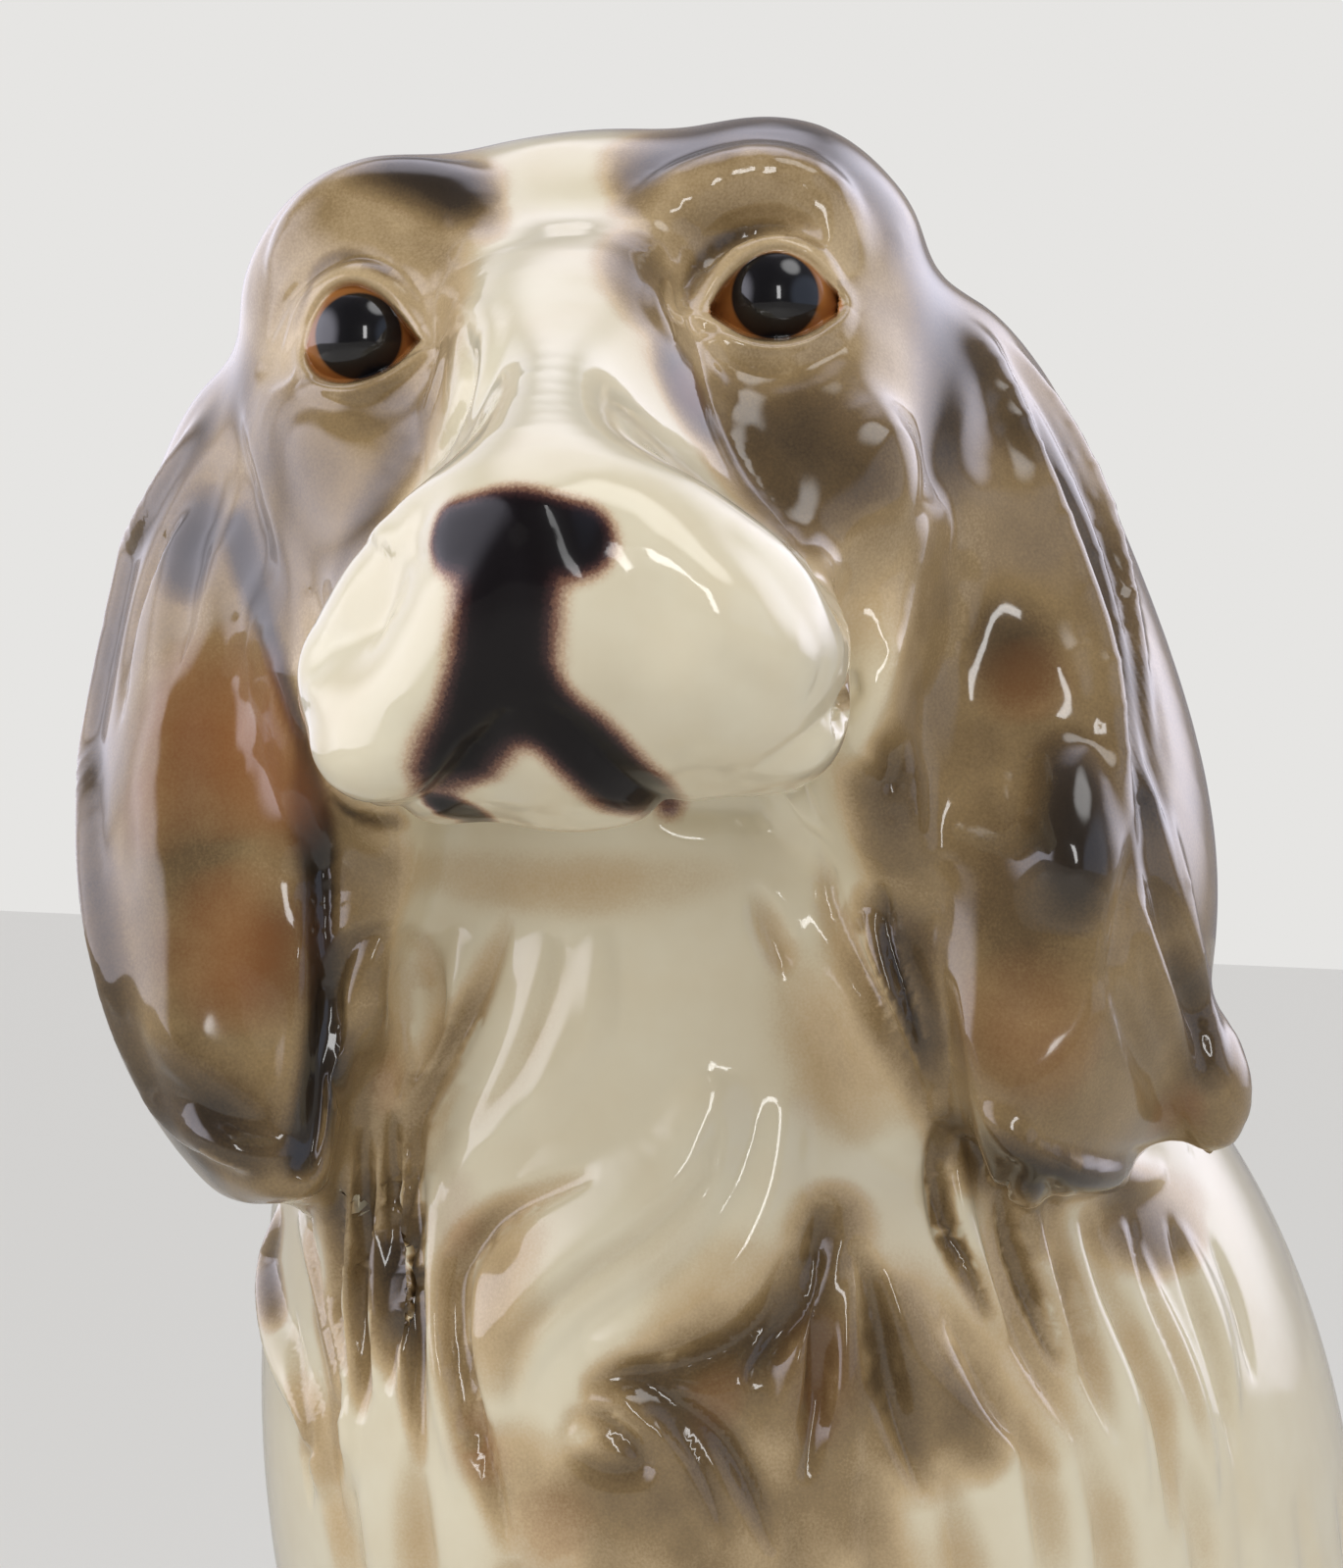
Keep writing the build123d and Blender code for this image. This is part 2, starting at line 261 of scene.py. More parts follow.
class Skin:
    """The dog's surface while it is modelled and sprayed."""

    def __init__(self, mesh):
        self.mesh = mesh
        self.colours = {}
        self.reread()

    def reread(self):
        """Takes the points and edges from the mesh."""
        mesh = self.mesh
        flat = np.empty(len(mesh.vertices) * 3, np.float32)
        mesh.vertices.foreach_get("co", flat)
        self.points = flat.reshape(-1, 3).astype(float) / MM
        pairs = np.empty(len(mesh.edges) * 2, np.int32)
        mesh.edges.foreach_get("vertices", pairs)
        self.edges = pairs.reshape(-1, 2)
        self.refresh()

    def refresh(self):
        """Brings the mesh, the normals and the search tree up to date with the points."""
        mesh = self.mesh
        mesh.vertices.foreach_set("co", (self.points * MM).astype(np.float32).ravel())
        mesh.update()
        flat = np.empty(len(mesh.vertices) * 3, np.float32)
        mesh.vertex_normals.foreach_get("vector", flat)
        self.normals = flat.reshape(-1, 3).astype(float)
        work = bmesh.new()
        work.from_mesh(mesh)
        self.tree = BVHTree.FromBMesh(work)
        work.free()

    def refine(self, chosen):
        """Halves the edges between the chosen points, and smooths what that leaves."""
        before = len(self.points)
        work = bmesh.new()
        work.from_mesh(self.mesh)
        edges = [e for e in work.edges if chosen[e.verts[0].index] and chosen[e.verts[1].index]]
        bmesh.ops.subdivide_edges(work, edges=edges, cuts=1, use_grid_fill=True)
        work.to_mesh(self.mesh)
        work.free()
        self.reread()
        fresh = np.zeros(len(self.points))
        fresh[before:] = 1
        fresh[:before] = chosen
        self.soften(fresh, 2)
        self.refresh()

    def averages(self, values):
        """For each point, the mean of its neighbours' values."""
        a, b = self.edges.T
        size = len(values)
        many = np.bincount(a, minlength=size) + np.bincount(b, minlength=size)
        sums = [np.bincount(a, c[b], size) + np.bincount(b, c[a], size) for c in values.T]
        return np.stack(sums, 1) / many[:, None]

    def patch(self, chosen):
        """The chosen points and their neighbours, and a function that sums their values round each one."""
        used = chosen[self.edges].any(axis=1)
        local, flat = np.unique(self.edges[used], return_inverse=True)
        a, b = flat.reshape(-1, 2).T

        def spread(values):
            sums = [np.bincount(a, c[b], len(c)) + np.bincount(b, c[a], len(c)) for c in values.T]
            return np.stack(sums, 1)

        return local, spread

    def soften(self, share, times):
        """Moves each point towards its neighbours' middle, by its share."""
        local, spread = self.patch(share > 0)
        many = spread(np.ones((len(local), 1)))
        points = self.points[local]
        share = share[local][:, None] * 0.5
        for _ in range(times):
            points += (spread(points) / many - points) * share
        self.points[local] = points

    def soften_spot(self, middle, radius, times, firm=2.0):
        """Softens a round spot, fully in its inner part."""
        self.soften(np.minimum(1, firm * self.near(middle, radius)), times)

    def fair(self, outline, rounds=400):
        """Lays the patch inside an outline like a springy sheet, level with what is round it."""
        middle = self.seen(*np.mean(outline, axis=0))[0]
        front = self.normals @ np.array(VIEW_BACK) > 0.02
        which = np.flatnonzero((self.near(middle, PATCH_REACH) > 0) & front)
        across, up = on_sheet(self.points[which])
        inner = np.zeros(len(self.points), bool)
        inner[which[outline_distance(across, up, outline) < 0]] = True
        ringed = np.zeros(len(self.points), bool)
        ringed[self.patch(inner)[0]] = True
        local, spread = self.patch(ringed)
        many = spread(np.ones((len(local), 1)))
        inner, ringed = (values[local].astype(float)[:, None] for values in (inner, ringed))

        def bend(move):
            return (move - spread(move) / many) * ringed

        def pull(bent):
            return (bent - spread(bent / many)) * inner

        # conjugate gradients: the moves that leave the least bending
        move = np.zeros((len(local), 3))
        left = -pull(bend(self.points[local]))
        way = left.copy()
        size = (left * left).sum(0)
        for _ in range(rounds):
            turned = bend(way)
            step = size / np.maximum((turned * turned).sum(0), 1e-30)
            move += way * step
            left -= pull(turned) * step
            fresh = (left * left).sum(0)
            way = left + way * (fresh / np.maximum(size, 1e-30))
            size = fresh
        self.points[local] += move

    def trim(self, middle, facing, reach, only=1.0, times=10):
        """Cuts the clay flat at a plane, less and less towards the reach."""
        middle, facing = np.array(middle), np.array(Vector(facing).normalized())
        away = self.points - middle
        share = np.clip(1.6 * (1 - np.linalg.norm(away, axis=1) / reach), 0, 1) * only
        self.points -= np.outer(np.maximum(away @ facing, 0) * share, facing)
        self.soften(share, times)

    def near(self, middle, radius):
        """How close each point is to a point, from 0 at the radius to 1 in the middle."""
        return np.clip(1 - np.linalg.norm(self.points - np.array(middle), axis=1) / radius, 0, 1)

    def seen(self, across, up):
        """The point that the viewer sees at a place, and the normal there."""
        through = EYES + VIEW_RIGHT * across + VIEW_UP * up
        ray = (through - VIEWPOINT).normalized()
        hit, normal, _, _ = self.tree.ray_cast(VIEWPOINT * MM, ray)
        return (hit / MM, normal) if hit else None

    def seen_line(self, places, step):
        """Points and normals along a curve through places that the viewer sees."""
        found = [hit for a, u in spline(places, step) if (hit := self.seen(a, u))]
        return np.array([h[0] for h in found]), np.array([h[1] for h in found])

    def nearest_line(self, places, step, place):
        """Points and normals on the skin, nearest to a curve that stands in a local space."""
        found = []
        for p in spline([tuple(place @ Vector(q)) for q in places], step):
            hit, normal, _, _ = self.tree.find_nearest(Vector(p) * MM)
            found.append((hit / MM, normal))
        return np.array([h[0] for h in found]), np.array([h[1] for h in found])

    def reach(self, line, normals, width, shape, taper):
        """The points that a stroke along a line reaches, and how strongly."""
        if len(line) < 2:
            return np.array([], int), np.array([])
        inside = np.all((self.points > line.min(0) - width) & (self.points < line.max(0) + width), axis=1)
        which = np.flatnonzero(inside)
        p = self.points[which]
        best = np.full(len(which), np.inf)
        along = np.zeros(len(which))
        facing = np.zeros(len(which))
        for k, (a, b) in enumerate(zip(line, line[1:])):
            ab = b - a
            t = np.clip((p - a) @ ab / max(ab @ ab, 1e-9), 0, 1)
            away = p - (a + t[:, None] * ab)
            d = np.einsum("ij,ij->i", away, away)
            closer = d < best
            best[closer] = d[closer]
            along[closer] = ((k + t) / (len(line) - 1))[closer]
            facing[closer] = (self.normals[which] @ normals[k])[closer]
        r = np.sqrt(best) / width / np.maximum(0.15, 0.4 + 0.6 * taper(along))
        keep = (r < 1) & (facing > 0.1)
        strength = shape(np.clip(r, 0, 1)) * taper(along) * np.clip(facing * 3, 0, 1)
        return which[keep], strength[keep]

    def press(self, line, width, height, shape=mound, taper=both_ends):
        """Raises the skin along a line, or sinks it where the height is less than 0."""
        which, strength = self.reach(*line, width, shape, taper)
        self.points[which] += self.normals[which] * (strength * height)[:, None]

    def spray(self, channel, line, width, strength, taper=both_ends):
        """Adds colour along a line."""
        layer = self.colours.setdefault(channel, np.zeros(len(self.points)))
        which, cover = self.reach(*line, width, mound, taper)
        layer[which] = 1 - (1 - layer[which]) * (1 - np.clip(cover * strength, 0, 1))

    def wipe(self, channel, line, width, strength):
        """Takes colour away along a line."""
        which, cover = self.reach(*line, width, mound, even)
        self.colours[channel][which] *= 1 - np.clip(cover * strength, 0, 1)

    def stroke(self, places, width, height, shape=mound, taper=both_ends):
        """Presses along places that the viewer sees."""
        self.press(self.seen_line(places, max(0.7, width / 3)), width, height, shape, taper)

    def strokes(self, table):
        """Presses along each row of a table."""
        for places, width, height, *how in table:
            self.stroke(places, width, height, *how)

    def dab(self, channel, places, width, strength, taper=both_ends):
        """Sprays along places that the viewer sees."""
        self.spray(channel, self.seen_line(places, max(0.7, width / 3)), width, strength, taper)


# ---------------------------------------------------------------- head

MUZZLE_CUTS = (
    # middle, way it faces and reach in the head's axes, on both sides
    ((14.5, -24, -22), (0.64, -0.12, 0.76), 24),
    ((22.5, -26, -29), (0.88, -0.15, 0.45), 16),
)
MUZZLE_STROKES = (
    # places, width, height
    # full lower corners of the muzzle
    ([(-22.8, -41.9), (-20.8, -46.1), (-17.5, -49.1)], 11, 3.2),
    ([(25.8, -41.4), (23.2, -46.4), (19, -49.4)], 10, 2.6),
    # flat upper side of the muzzle
    ([(-16, -17.9), (-21.8, -25.9), (-25.8, -32.9), (-26.2, -37.9)], 10, -6),
)
MUZZLE_CORNER, MUZZLE_CORNER_DEPTH = (-23.5, -45.4), 38
BROW_AND_CHEEK_STROKES = (
    # places, width, height, then the profile and the way the ends thin, if set
    # shallow valley up the forehead
    ([(-2, 17.1), (-1.8, 12.1), (-1.5, 6.6)], 8, -0.7),
    # brow ridges
    ([(-10, 3.1), (-8.5, 8.1), (-10.2, 12.6), (-18, 13.9), (-26, 11.1), (-30.8, 4.1)], 6, 1.8),
    ([(7.2, 3.6), (8, 9.3), (12.5, 12.9), (19.5, 14.3), (25.8, 12.1), (30.5, 5.6)], 6, 2.4),
    # hollows under the brows
    ([(-12.5, 5.1), (-15, 8.1), (-21.5, 9.3), (-28, 5.9)], 5, -1.0),
    ([(12, 5.9), (15.5, 9.5), (21, 10.7), (25.8, 8.1)], 4.5, -2.2),
    ([(-9.4, 2.1), (-10, 5.1)], 6, 0.8, mound, even),
    ([(7.2, 2.8), (8, 5.5)], 6, 0.8, mound, even),
    # cheeks
    ([(-27, -9.9), (-26.2, -15.9), (-24.5, -21.9)], 8, 1.4),
    ([(24, -11.9), (25.8, -17.9), (26.2, -22.4)], 8, 1.0),
    # edges of the bridge
    ([(6, -22.4), (15, -27.9), (25, -37.9)], 6, 1.0),
    ([(-15, -20.9), (-20, -26.9), (-24.5, -35.9)], 6, 0.8),
)
# outlines that are stretched smooth
SMOOTH_PATCHES = (
    # stop and bridge
    ((-8, 9.6), (-2, 10.6), (6, 9.6), (8.2, 5.1), (8.8, 1.1), (9.2, -2.9), (12.4, -8.4), (16.5, -14.9),
     (19.2, -20.9), (14, -23.9), (7, -21.9), (2, -18.7), (-5.5, -17.9), (-12.2, -19.9), (-16.5, -23.9),
     (-18.2, -19.9), (-14.4, -11.9), (-11.8, -7.1), (-10.6, -2.4), (-10.4, 2.1), (-9.6, 6.6)),
    # upper side of the muzzle, on the dog's right
    ((-11.8, -19.4), (-16, -22.4), (-20.8, -27.9), (-24.5, -34.1), (-25.8, -40.1), (-21.2, -44.4),
     (-14.4, -39.4), (-11.8, -31.9), (-10.5, -24.9)),
    # cheeks
    ((13.5, -5.7), (21, -6.5), (28.5, -3.1), (32.5, -7.9), (33.2, -15.9), (31, -22.9), (25, -25.4),
     (19.6, -19.9), (15.5, -12.9)),
    ((-28, -9.9), (-20, -10.5), (-15.2, -8.1), (-17.5, -14.9), (-20.8, -22.1), (-25.4, -27.9),
     (-31.2, -24.9), (-34.2, -15.9), (-32.8, -8.9)),
    # under the brows' edges
    ((13.2, 12.1), (18, 15.5), (25, 15.1), (31, 10.6), (32, 5.3), (28.5, 7.7), (24, 9.5), (19, 10.1),
     (14.8, 8.9)),
    ((-31.8, 2.1), (-29, 8.1), (-23.5, 11.6), (-16, 12.3), (-13, 9.6), (-14, 5.9), (-20, 7.1), (-26, 5.9),
     (-29.5, 3.1)),
)
BRIDGE_STROKES = (
    # full bridge, on both sides of its middle
    ([(-7.4, 8.1), (-8, -0.9), (-10, -8.4), (-13.2, -14.4)], 10, 3.3),
    ([(4.8, 8.1), (6.2, -0.9), (9.6, -8.4), (13.8, -14.4)], 10, 3.3),
    ([(-1.4, 7.1), (-1.2, -1.9), (-1.8, -11.9)], 10, 1.2),
)
BRIDGE_TOP = (
    (-8, 10.9), (-1, 11.6), (6, 10.9), (8, 7.6), (7.2, 3.1), (5.2, -1.4),
    (2.6, -6.4), (-1.4, -8.9), (-5, -6.4), (-7.2, -1.4), (-8.8, 3.1), (-9.4, 7.6),
)
BRIDGE_MIDDLE = (-0.5, -2.9)
FACE_MIDDLE, FACE_REACH, FACE_FADE = (0, -8, -8), 45, 12       # in the head's axes


def model_planes(skin):
    """The head's larger planes: brows, stop, cheeks and the wedge of the muzzle."""
    for side in (-1, 1):
        mirror = HEAD @ Matrix.Diagonal((side, 1, 1, 1))
        for middle, facing, reach in MUZZLE_CUTS:
            skin.trim(mirror @ Vector(middle), mirror.to_3x3() @ Vector(facing), reach)
    skin.refresh()
    skin.strokes(MUZZLE_STROKES)
    skin.soften_spot(at(MUZZLE_CORNER, MUZZLE_CORNER_DEPTH), 16, 12)
    skin.refresh()
    skin.strokes(BROW_AND_CHEEK_STROKES)
    skin.refresh()
    for outline in SMOOTH_PATCHES:
        skin.fair(outline)
    skin.strokes(BRIDGE_STROKES)
    skin.refresh()
    skin.fair(BRIDGE_TOP)
    skin.refresh()
    skin.soften_spot(skin.seen(*BRIDGE_MIDDLE)[0], 25, 220, 2.2)
    skin.refresh()
    distance = np.linalg.norm(local_to_head(skin.points) - FACE_MIDDLE, axis=1)
    skin.soften(ease(FACE_REACH - distance, 0, FACE_FADE), 6)
    skin.refresh()


FACE_STROKES = (
    # places, width, height, then the profile and the way the ends thin, if set
    # folds from the inner corners of the eyes
    ([(-11, -1.9), (-10.2, -6.4), (-11.8, -11.5), (-14, -15.7)], 2.4, -1.3, crease),
    ([(-12.1, 0.3), (-9.6, 0.5), (-8.1, -1.4), (-8.3, -5.9), (-10, -10.9)], 2.6, 0.6),
    ([(-12.8, -2.4), (-13.3, -6.7), (-15, -10.7)], 2.6, 0.6),
    ([(13.2, -2.7), (14.6, -7.9), (17.2, -13.4), (21.5, -19.9),
      (25.5, -26.4)], 3.4, -0.7, crease, start_thin),
    ([(10.3, 3.3), (10.5, 0.9), (11.8, -1.3)], 2.2, -0.8, crease),
    ([(9.2, 3.1), (9.2, 0.1), (10.6, -2.9)], 2.4, 0.5),
    # mouth
    ([(-6, -40.2), (-10, -45.4), (-14, -49.7), (-18.2, -51.3)], 3.0, -1.0, crease, start_thin),
    ([(-3.5, -39), (1, -42.9), (6, -47.9), (11, -50.4), (19, -50.8)], 3.0, -1.1, crease, start_thin),
    # nose
    ([(-5.7, -21.9), (-6.2, -29.9), (-5, -37.9)], 2.6, -0.35),
    ([(-16, -23.9), (-13.5, -27.1)], 1.8, -0.4),
    ([(3.8, -22.4), (1.6, -25.1)], 1.8, -0.4),
    ([(-13, -19.9), (-5.5, -18.5), (2, -20.1)], 4, 0.5),
)
NOSE_TOP = (-5.5, -21.4)
MOUTH_CORNER_STROKES = (
    # places, width, height, then the profile, if set
    ([(29.2, -36.5), (28.6, -39.3), (27, -42.5)], 2.4, -1.6, crease),
    ([(30.6, -35.1), (30.6, -38.4), (29.4, -42.1), (26.8, -46.1)], 2.6, 0.9),
)


def model_face(skin):
    """Folds at the eyes, mouth and muzzle."""
    skin.strokes(FACE_STROKES)
    skin.refresh()
    skin.soften_spot(skin.seen(*NOSE_TOP)[0], 12, 12)
    skin.strokes(MOUTH_CORNER_STROKES)
    skin.refresh()


EYE_OPENINGS = (
    # middle of the pupil, then the edge of the opening
    ((-21.5, -2.2),
     ((-15.3, -2.8), (-17.3, -0.1), (-19.2, 1.9), (-21.8, 3), (-24.2, 2.1), (-26, -0.7),
      (-26.8, -3.9), (-25.8, -6.1), (-23.5, -7), (-20.8, -6.7), (-17.8, -5.3))),
    ((21.1, 1.9),
     ((14.2, 0.1), (16, 3.1), (18.6, 5.5), (21.3, 6.4), (24.2, 5.3), (26.6, 2.9),
      (28, 0.7), (26, -1), (23.8, -2.2), (21.2, -2.7), (18, -2.2))),
)
EYEBALL_RADIUS = 6.6
EYE_STANDS_OUT = 0.5
EYE_AREA = 13
OPENING_BLEND, PAINT_BLEND = 0.5, 0.3
LID_RIM, LID_RIM_WIDTH, LID_RIM_HEIGHT = 0.8, 0.6, 0.45        # outside the opening's edge
LID_STROKES = (
    # places, width, height, then the profile, if set
    # upper lids: a band, with a crease over it
    ([(-30.6, -2.9), (-28.8, 1.3), (-25.4, 4.7), (-21.4, 6.1), (-17.4, 4.6),
      (-14.8, 1.5)], 2.4, -0.7, crease),
    ([(-29, -3.9), (-26.8, 0.9), (-23.7, 3.7), (-20.2, 4.2), (-17.2, 2.1), (-15, -1.3)], 2.0, 0.7),
    ([(11.4, -0.1), (12, 3.1), (14, 5.9), (16.8, 7.8), (20.2, 8.9), (23.5, 8.7),
      (26.2, 6.9)], 2.8, -1.9, crease),
    ([(12.8, 0.5), (14.6, 3.9), (17.5, 6.6), (21, 7.6), (24.8, 6.5), (28, 3.1)], 2.0, 0.9),
    # lower lids
    ([(-13.4, -3.6), (-17.6, -6.3), (-23, -8.1), (-27.7, -7.3)], 2.2, 0.8),
    ([(-13.2, -3.9), (-15.5, -5.5), (-18.2, -7.1), (-23, -8.1)], 1.6, -0.7, crease),
    ([(-31.8, -5.5), (-30, -6.3), (-28, -6)], 2.2, -0.5),
    ([(13.2, -2.1), (18, -3.7), (21.5, -4.2), (26.5, -2.5), (29, 0.3)], 2.4, 0.7),
    ([(12, -0.9), (13.4, -1.6), (15, -1.7)], 2.0, -0.6),
    ([(-28, -9.7), (-23, -10.7), (-18, -9.4), (-14, -6.4)], 3.0, -0.4),
    ([(14, -4.1), (18.5, -5.7), (23.5, -5.7), (28.2, -3.4)], 3.2, -0.4),
)


def model_eyes(skin):
    """Sets a ball in each opening, with a raised lid round it, and gives the balls' middles."""
    skin.strokes(LID_STROKES)
    skin.refresh()
    balls = []
    opened = skin.colours["eye"] = np.zeros(len(skin.points))
    viewpoint, back = np.array(VIEWPOINT), np.array(VIEW_BACK)
    for middle, outline in EYE_OPENINGS:
        hit, _ = skin.seen(*middle)
        ball = np.array(hit) - back * (EYEBALL_RADIUS - EYE_STANDS_OUT)
        which = np.flatnonzero(skin.near(hit, EYE_AREA) > 0)
        across, up = on_sheet(skin.points[which])
        gap = outline_distance(across, up, outline)
        # the ball's surface along each line of sight
        ray = skin.points[which] - viewpoint
        ray /= np.linalg.norm(ray, axis=1)[:, None]
        from_ball = viewpoint - ball
        b = ray @ from_ball
        inside = b * b - (from_ball @ from_ball - EYEBALL_RADIUS ** 2)
        surface = viewpoint + ray * (-b - np.sqrt(np.maximum(inside, 0)))[:, None]
        share = np.clip(0.5 - gap / OPENING_BLEND, 0, 1) * (inside > 0)
        share = share * share * (3 - 2 * share)
        skin.points[which] += (surface - skin.points[which]) * share[:, None]
        rim = np.exp(-((gap - LID_RIM) / LID_RIM_WIDTH) ** 2) * LID_RIM_HEIGHT
        skin.points[which] += back * rim[:, None]
        opened[which] = np.maximum(opened[which], np.clip(0.5 - gap / PAINT_BLEND, 0, 1))
        balls.append(ball)
    skin.refresh()
    return balls


# ---------------------------------------------------------------- ears

PANEL_REACH = 36
EAR_PANELS = (
    # ear, (across, up) of the middle, depth of the cut, how far it faces to the viewer's right
    ("right", (-37, -31.9), 2.5, 0.06),
    ("right", (-36.5, -53.9), 3, 0.08),
    ("right", (-35, -73.9), 2.5, 0.06),
    ("left", (44, -27.9), 2.5, -0.05),
    ("left", (45, -57.9), 3, -0.10),
)
EAR_STROKES = (
    # places, width, height, then the profile and the way the ends thin, if set
    # right ear: a rolled rim round a long panel that is hollow at its pointed top
    ([(-36.2, -23.9), (-38.5, -35.9), (-38, -49.9), (-36, -62.9), (-34, -75.9)], 10, -0.8),
    ([(-36.7, -18.4), (-39, -24.9), (-40.5, -31.9), (-41.2, -39.9)], 5, -1.8, mound, end_thin),
    ([(-36.8, -9.7), (-42, -18.9), (-45.8, -28.9), (-48, -39.9), (-48.3, -50.9), (-47.6, -60.9),
      (-45.2, -71.9), (-41.4, -80.9), (-36.5, -86.4)], 3.6, 2.4),
    ([(-37.2, -15.9), (-42, -23.9), (-44.8, -32.9), (-45.8, -41.9)], 2.0, -1.6, crease),
    ([(-31.8, -29.9), (-29.5, -39.9), (-27.6, -49.9), (-27.2, -57.9)], 3.4, 1.6),
    ([(-34.4, -12.4), (-31.8, -22.4), (-29.6, -32.9), (-26.8, -42.9), (-25.4, -52.9), (-25, -65.9),
      (-25.4, -77.9), (-26.2, -85.9)], 2.6, -1.8, crease, even),
    ([(-28, -49.9), (-27.4, -61.9), (-27.8, -73.9), (-28.8, -83.9)], 3.2, 1.4),
    ([(-43, -78.9), (-37.5, -83.9), (-31.8, -85.9), (-28, -85.1)], 3.4, 1.5),
    ([(-42, -77.4), (-36.5, -81.7), (-31.5, -83.1)], 2.4, -1.1, crease),
    ([(-40.8, -82.9), (-36, -86.9), (-30, -88.4)], 1.8, -0.9, crease),
    ([(-45, -53.9), (-43, -63.9), (-40.2, -72.9)], 4, 0.7),
    # left ear: hair combed down from its root over a long panel, with a bulge low on the panel
    ([(40.5, -2.4), (39.5, -10.9), (37.5, -18.9), (35.5, -26.9)], 4, 1.6),
    ([(41.8, -2.9), (46, -11.9), (50.8, -23.9), (54.2, -33.9), (56, -43.9),
      (57.2, -55.9)], 3.4, 2.0, mound, end_thin),
    ([(42, -16.9), (46, -19.9), (48.4, -27.9), (48.8, -35.9)], 2.6, -1.4, crease),
    ([(38, -19.9), (40.5, -17.9), (44, -19.9)], 3, 0.9),
    ([(40.5, -23.9), (40, -35.9), (39.5, -47.9), (40.5, -59.9)], 7, -1.3),
    ([(47, -37.9), (46, -47.9), (46, -57.9), (47.2, -66.9)], 3.2, -1.3, crease),
    ([(51.6, -43.9), (52, -52.9), (51.2, -61.9)], 8, 3.0),
    ([(54.8, -43.9), (56.6, -52.9), (56, -62.9), (54, -70.9)], 2.4, -1.3, crease),
    ([(43.2, -5.1), (48.2, -14.1), (53.2, -24.1), (56.6, -35.9), (58.4, -47.9),
      (59, -57.9)], 2.4, -1.9, crease),
    ([(45.4, -3.1), (50.8, -11.1), (55.2, -20.9), (58, -31.9), (60, -43.9)], 2.6, 1.3),
    ([(45, -4.4), (50.2, -12.7), (54.6, -22.4), (57.6, -32.9), (59.4, -43.9), (61.6, -55.9),
      (63.6, -66.9)], 1.9, -1.6, crease),
    ([(48, -5.4), (53, -13.4), (56.4, -23.9), (59, -35.9), (61.2, -47.9)], 1.8, -1.2, crease),
    ([(59.2, -45.9), (61.6, -55.9), (63.6, -66.4), (65.6, -74.4), (66.6, -78.9)], 3.4, 1.8),
    ([(57, -57.9), (60, -67.9), (62.6, -75.9), (64.2, -81.9)], 2.6, 1.6),
    ([(58.5, -53.9), (61.2, -63.9), (63.8, -72.9), (65.8, -77.9)], 2.0, -1.6, crease),
    ([(55, -65.9), (58, -74.9), (61.6, -81.9), (63.6, -85.9)], 2.0, -1.4, crease),
    ([(42, -80.9), (48, -85.9), (55, -88.4), (61, -87.5)], 3.8, 1.6),
    ([(41, -78.9), (47, -83.7), (54, -86.1), (61, -85.5)], 2.4, -1.1, crease),
    ([(43, -84.9), (49, -88.4), (56, -90.4)], 1.6, -0.8, crease),
    # the fold between the cheek and the left ear
    ([(32.5, -39.9), (34.5, -46.9), (35, -53.9)], 3, 1.4),
    ([(30.5, -43.9), (30.8, -50.9), (32, -56.9)], 2.4, 1.2),
    ([(37.8, -29.9), (37, -41.9), (38, -53.9), (40.5, -63.9)], 3, -1.0, crease),
)
EAR_PATCHES = (
    ((42, -14.9), (47.5, -14.9), (50.8, -23.9), (52.4, -37.9), (50.4, -46.4), (43.2, -44.4),
     (40.4, -32.9), (40, -21.9)),
    ((40.5, -49.9), (46, -50.9), (48.4, -57.9), (48.2, -67.9), (44.4, -76.4), (39.5, -71.9),
     (38.2, -59.9)),
    ((-46.8, -46.9), (-43, -39.9), (-36, -39.9), (-29.5, -47.9), (-28, -57.9), (-29, -71.9), (-33, -79.9),
     (-39, -78.9), (-44, -71.9), (-47, -60.9)),
)


def model_ears(skin, owners):
    """Flat panels, rolled rims and combed ribs."""
    nodes = (NODES.index("right_ear_casting"), NODES.index("left_ear_casting"))
    share = np.stack([owners == index for index in nodes], 1) * 1.0
    for _ in range(60):
        share = skin.averages(share)
    cover = dict(zip(("right", "left"), np.clip(1.6 * share.T - 0.6, 0, 1)))
    for ear, place, deep, turned in EAR_PANELS:
        hit, _ = skin.seen(*place)
        skin.trim(hit - VIEW_BACK * deep, VIEW_BACK + VIEW_RIGHT * turned, PANEL_REACH, cover[ear], 8)
        skin.refresh()
    skin.strokes(EAR_STROKES)
    both = share.sum(1)
    skin.soften(np.clip(1.6 * both - 0.3, 0, 1), 5)
    skin.soften(np.clip(8 * both * (1 - both), 0, 1), 24)
    skin.refresh()
    for outline in EAR_PATCHES:
        skin.fair(outline, 250)
    skin.refresh()


# ---------------------------------------------------------------- coat

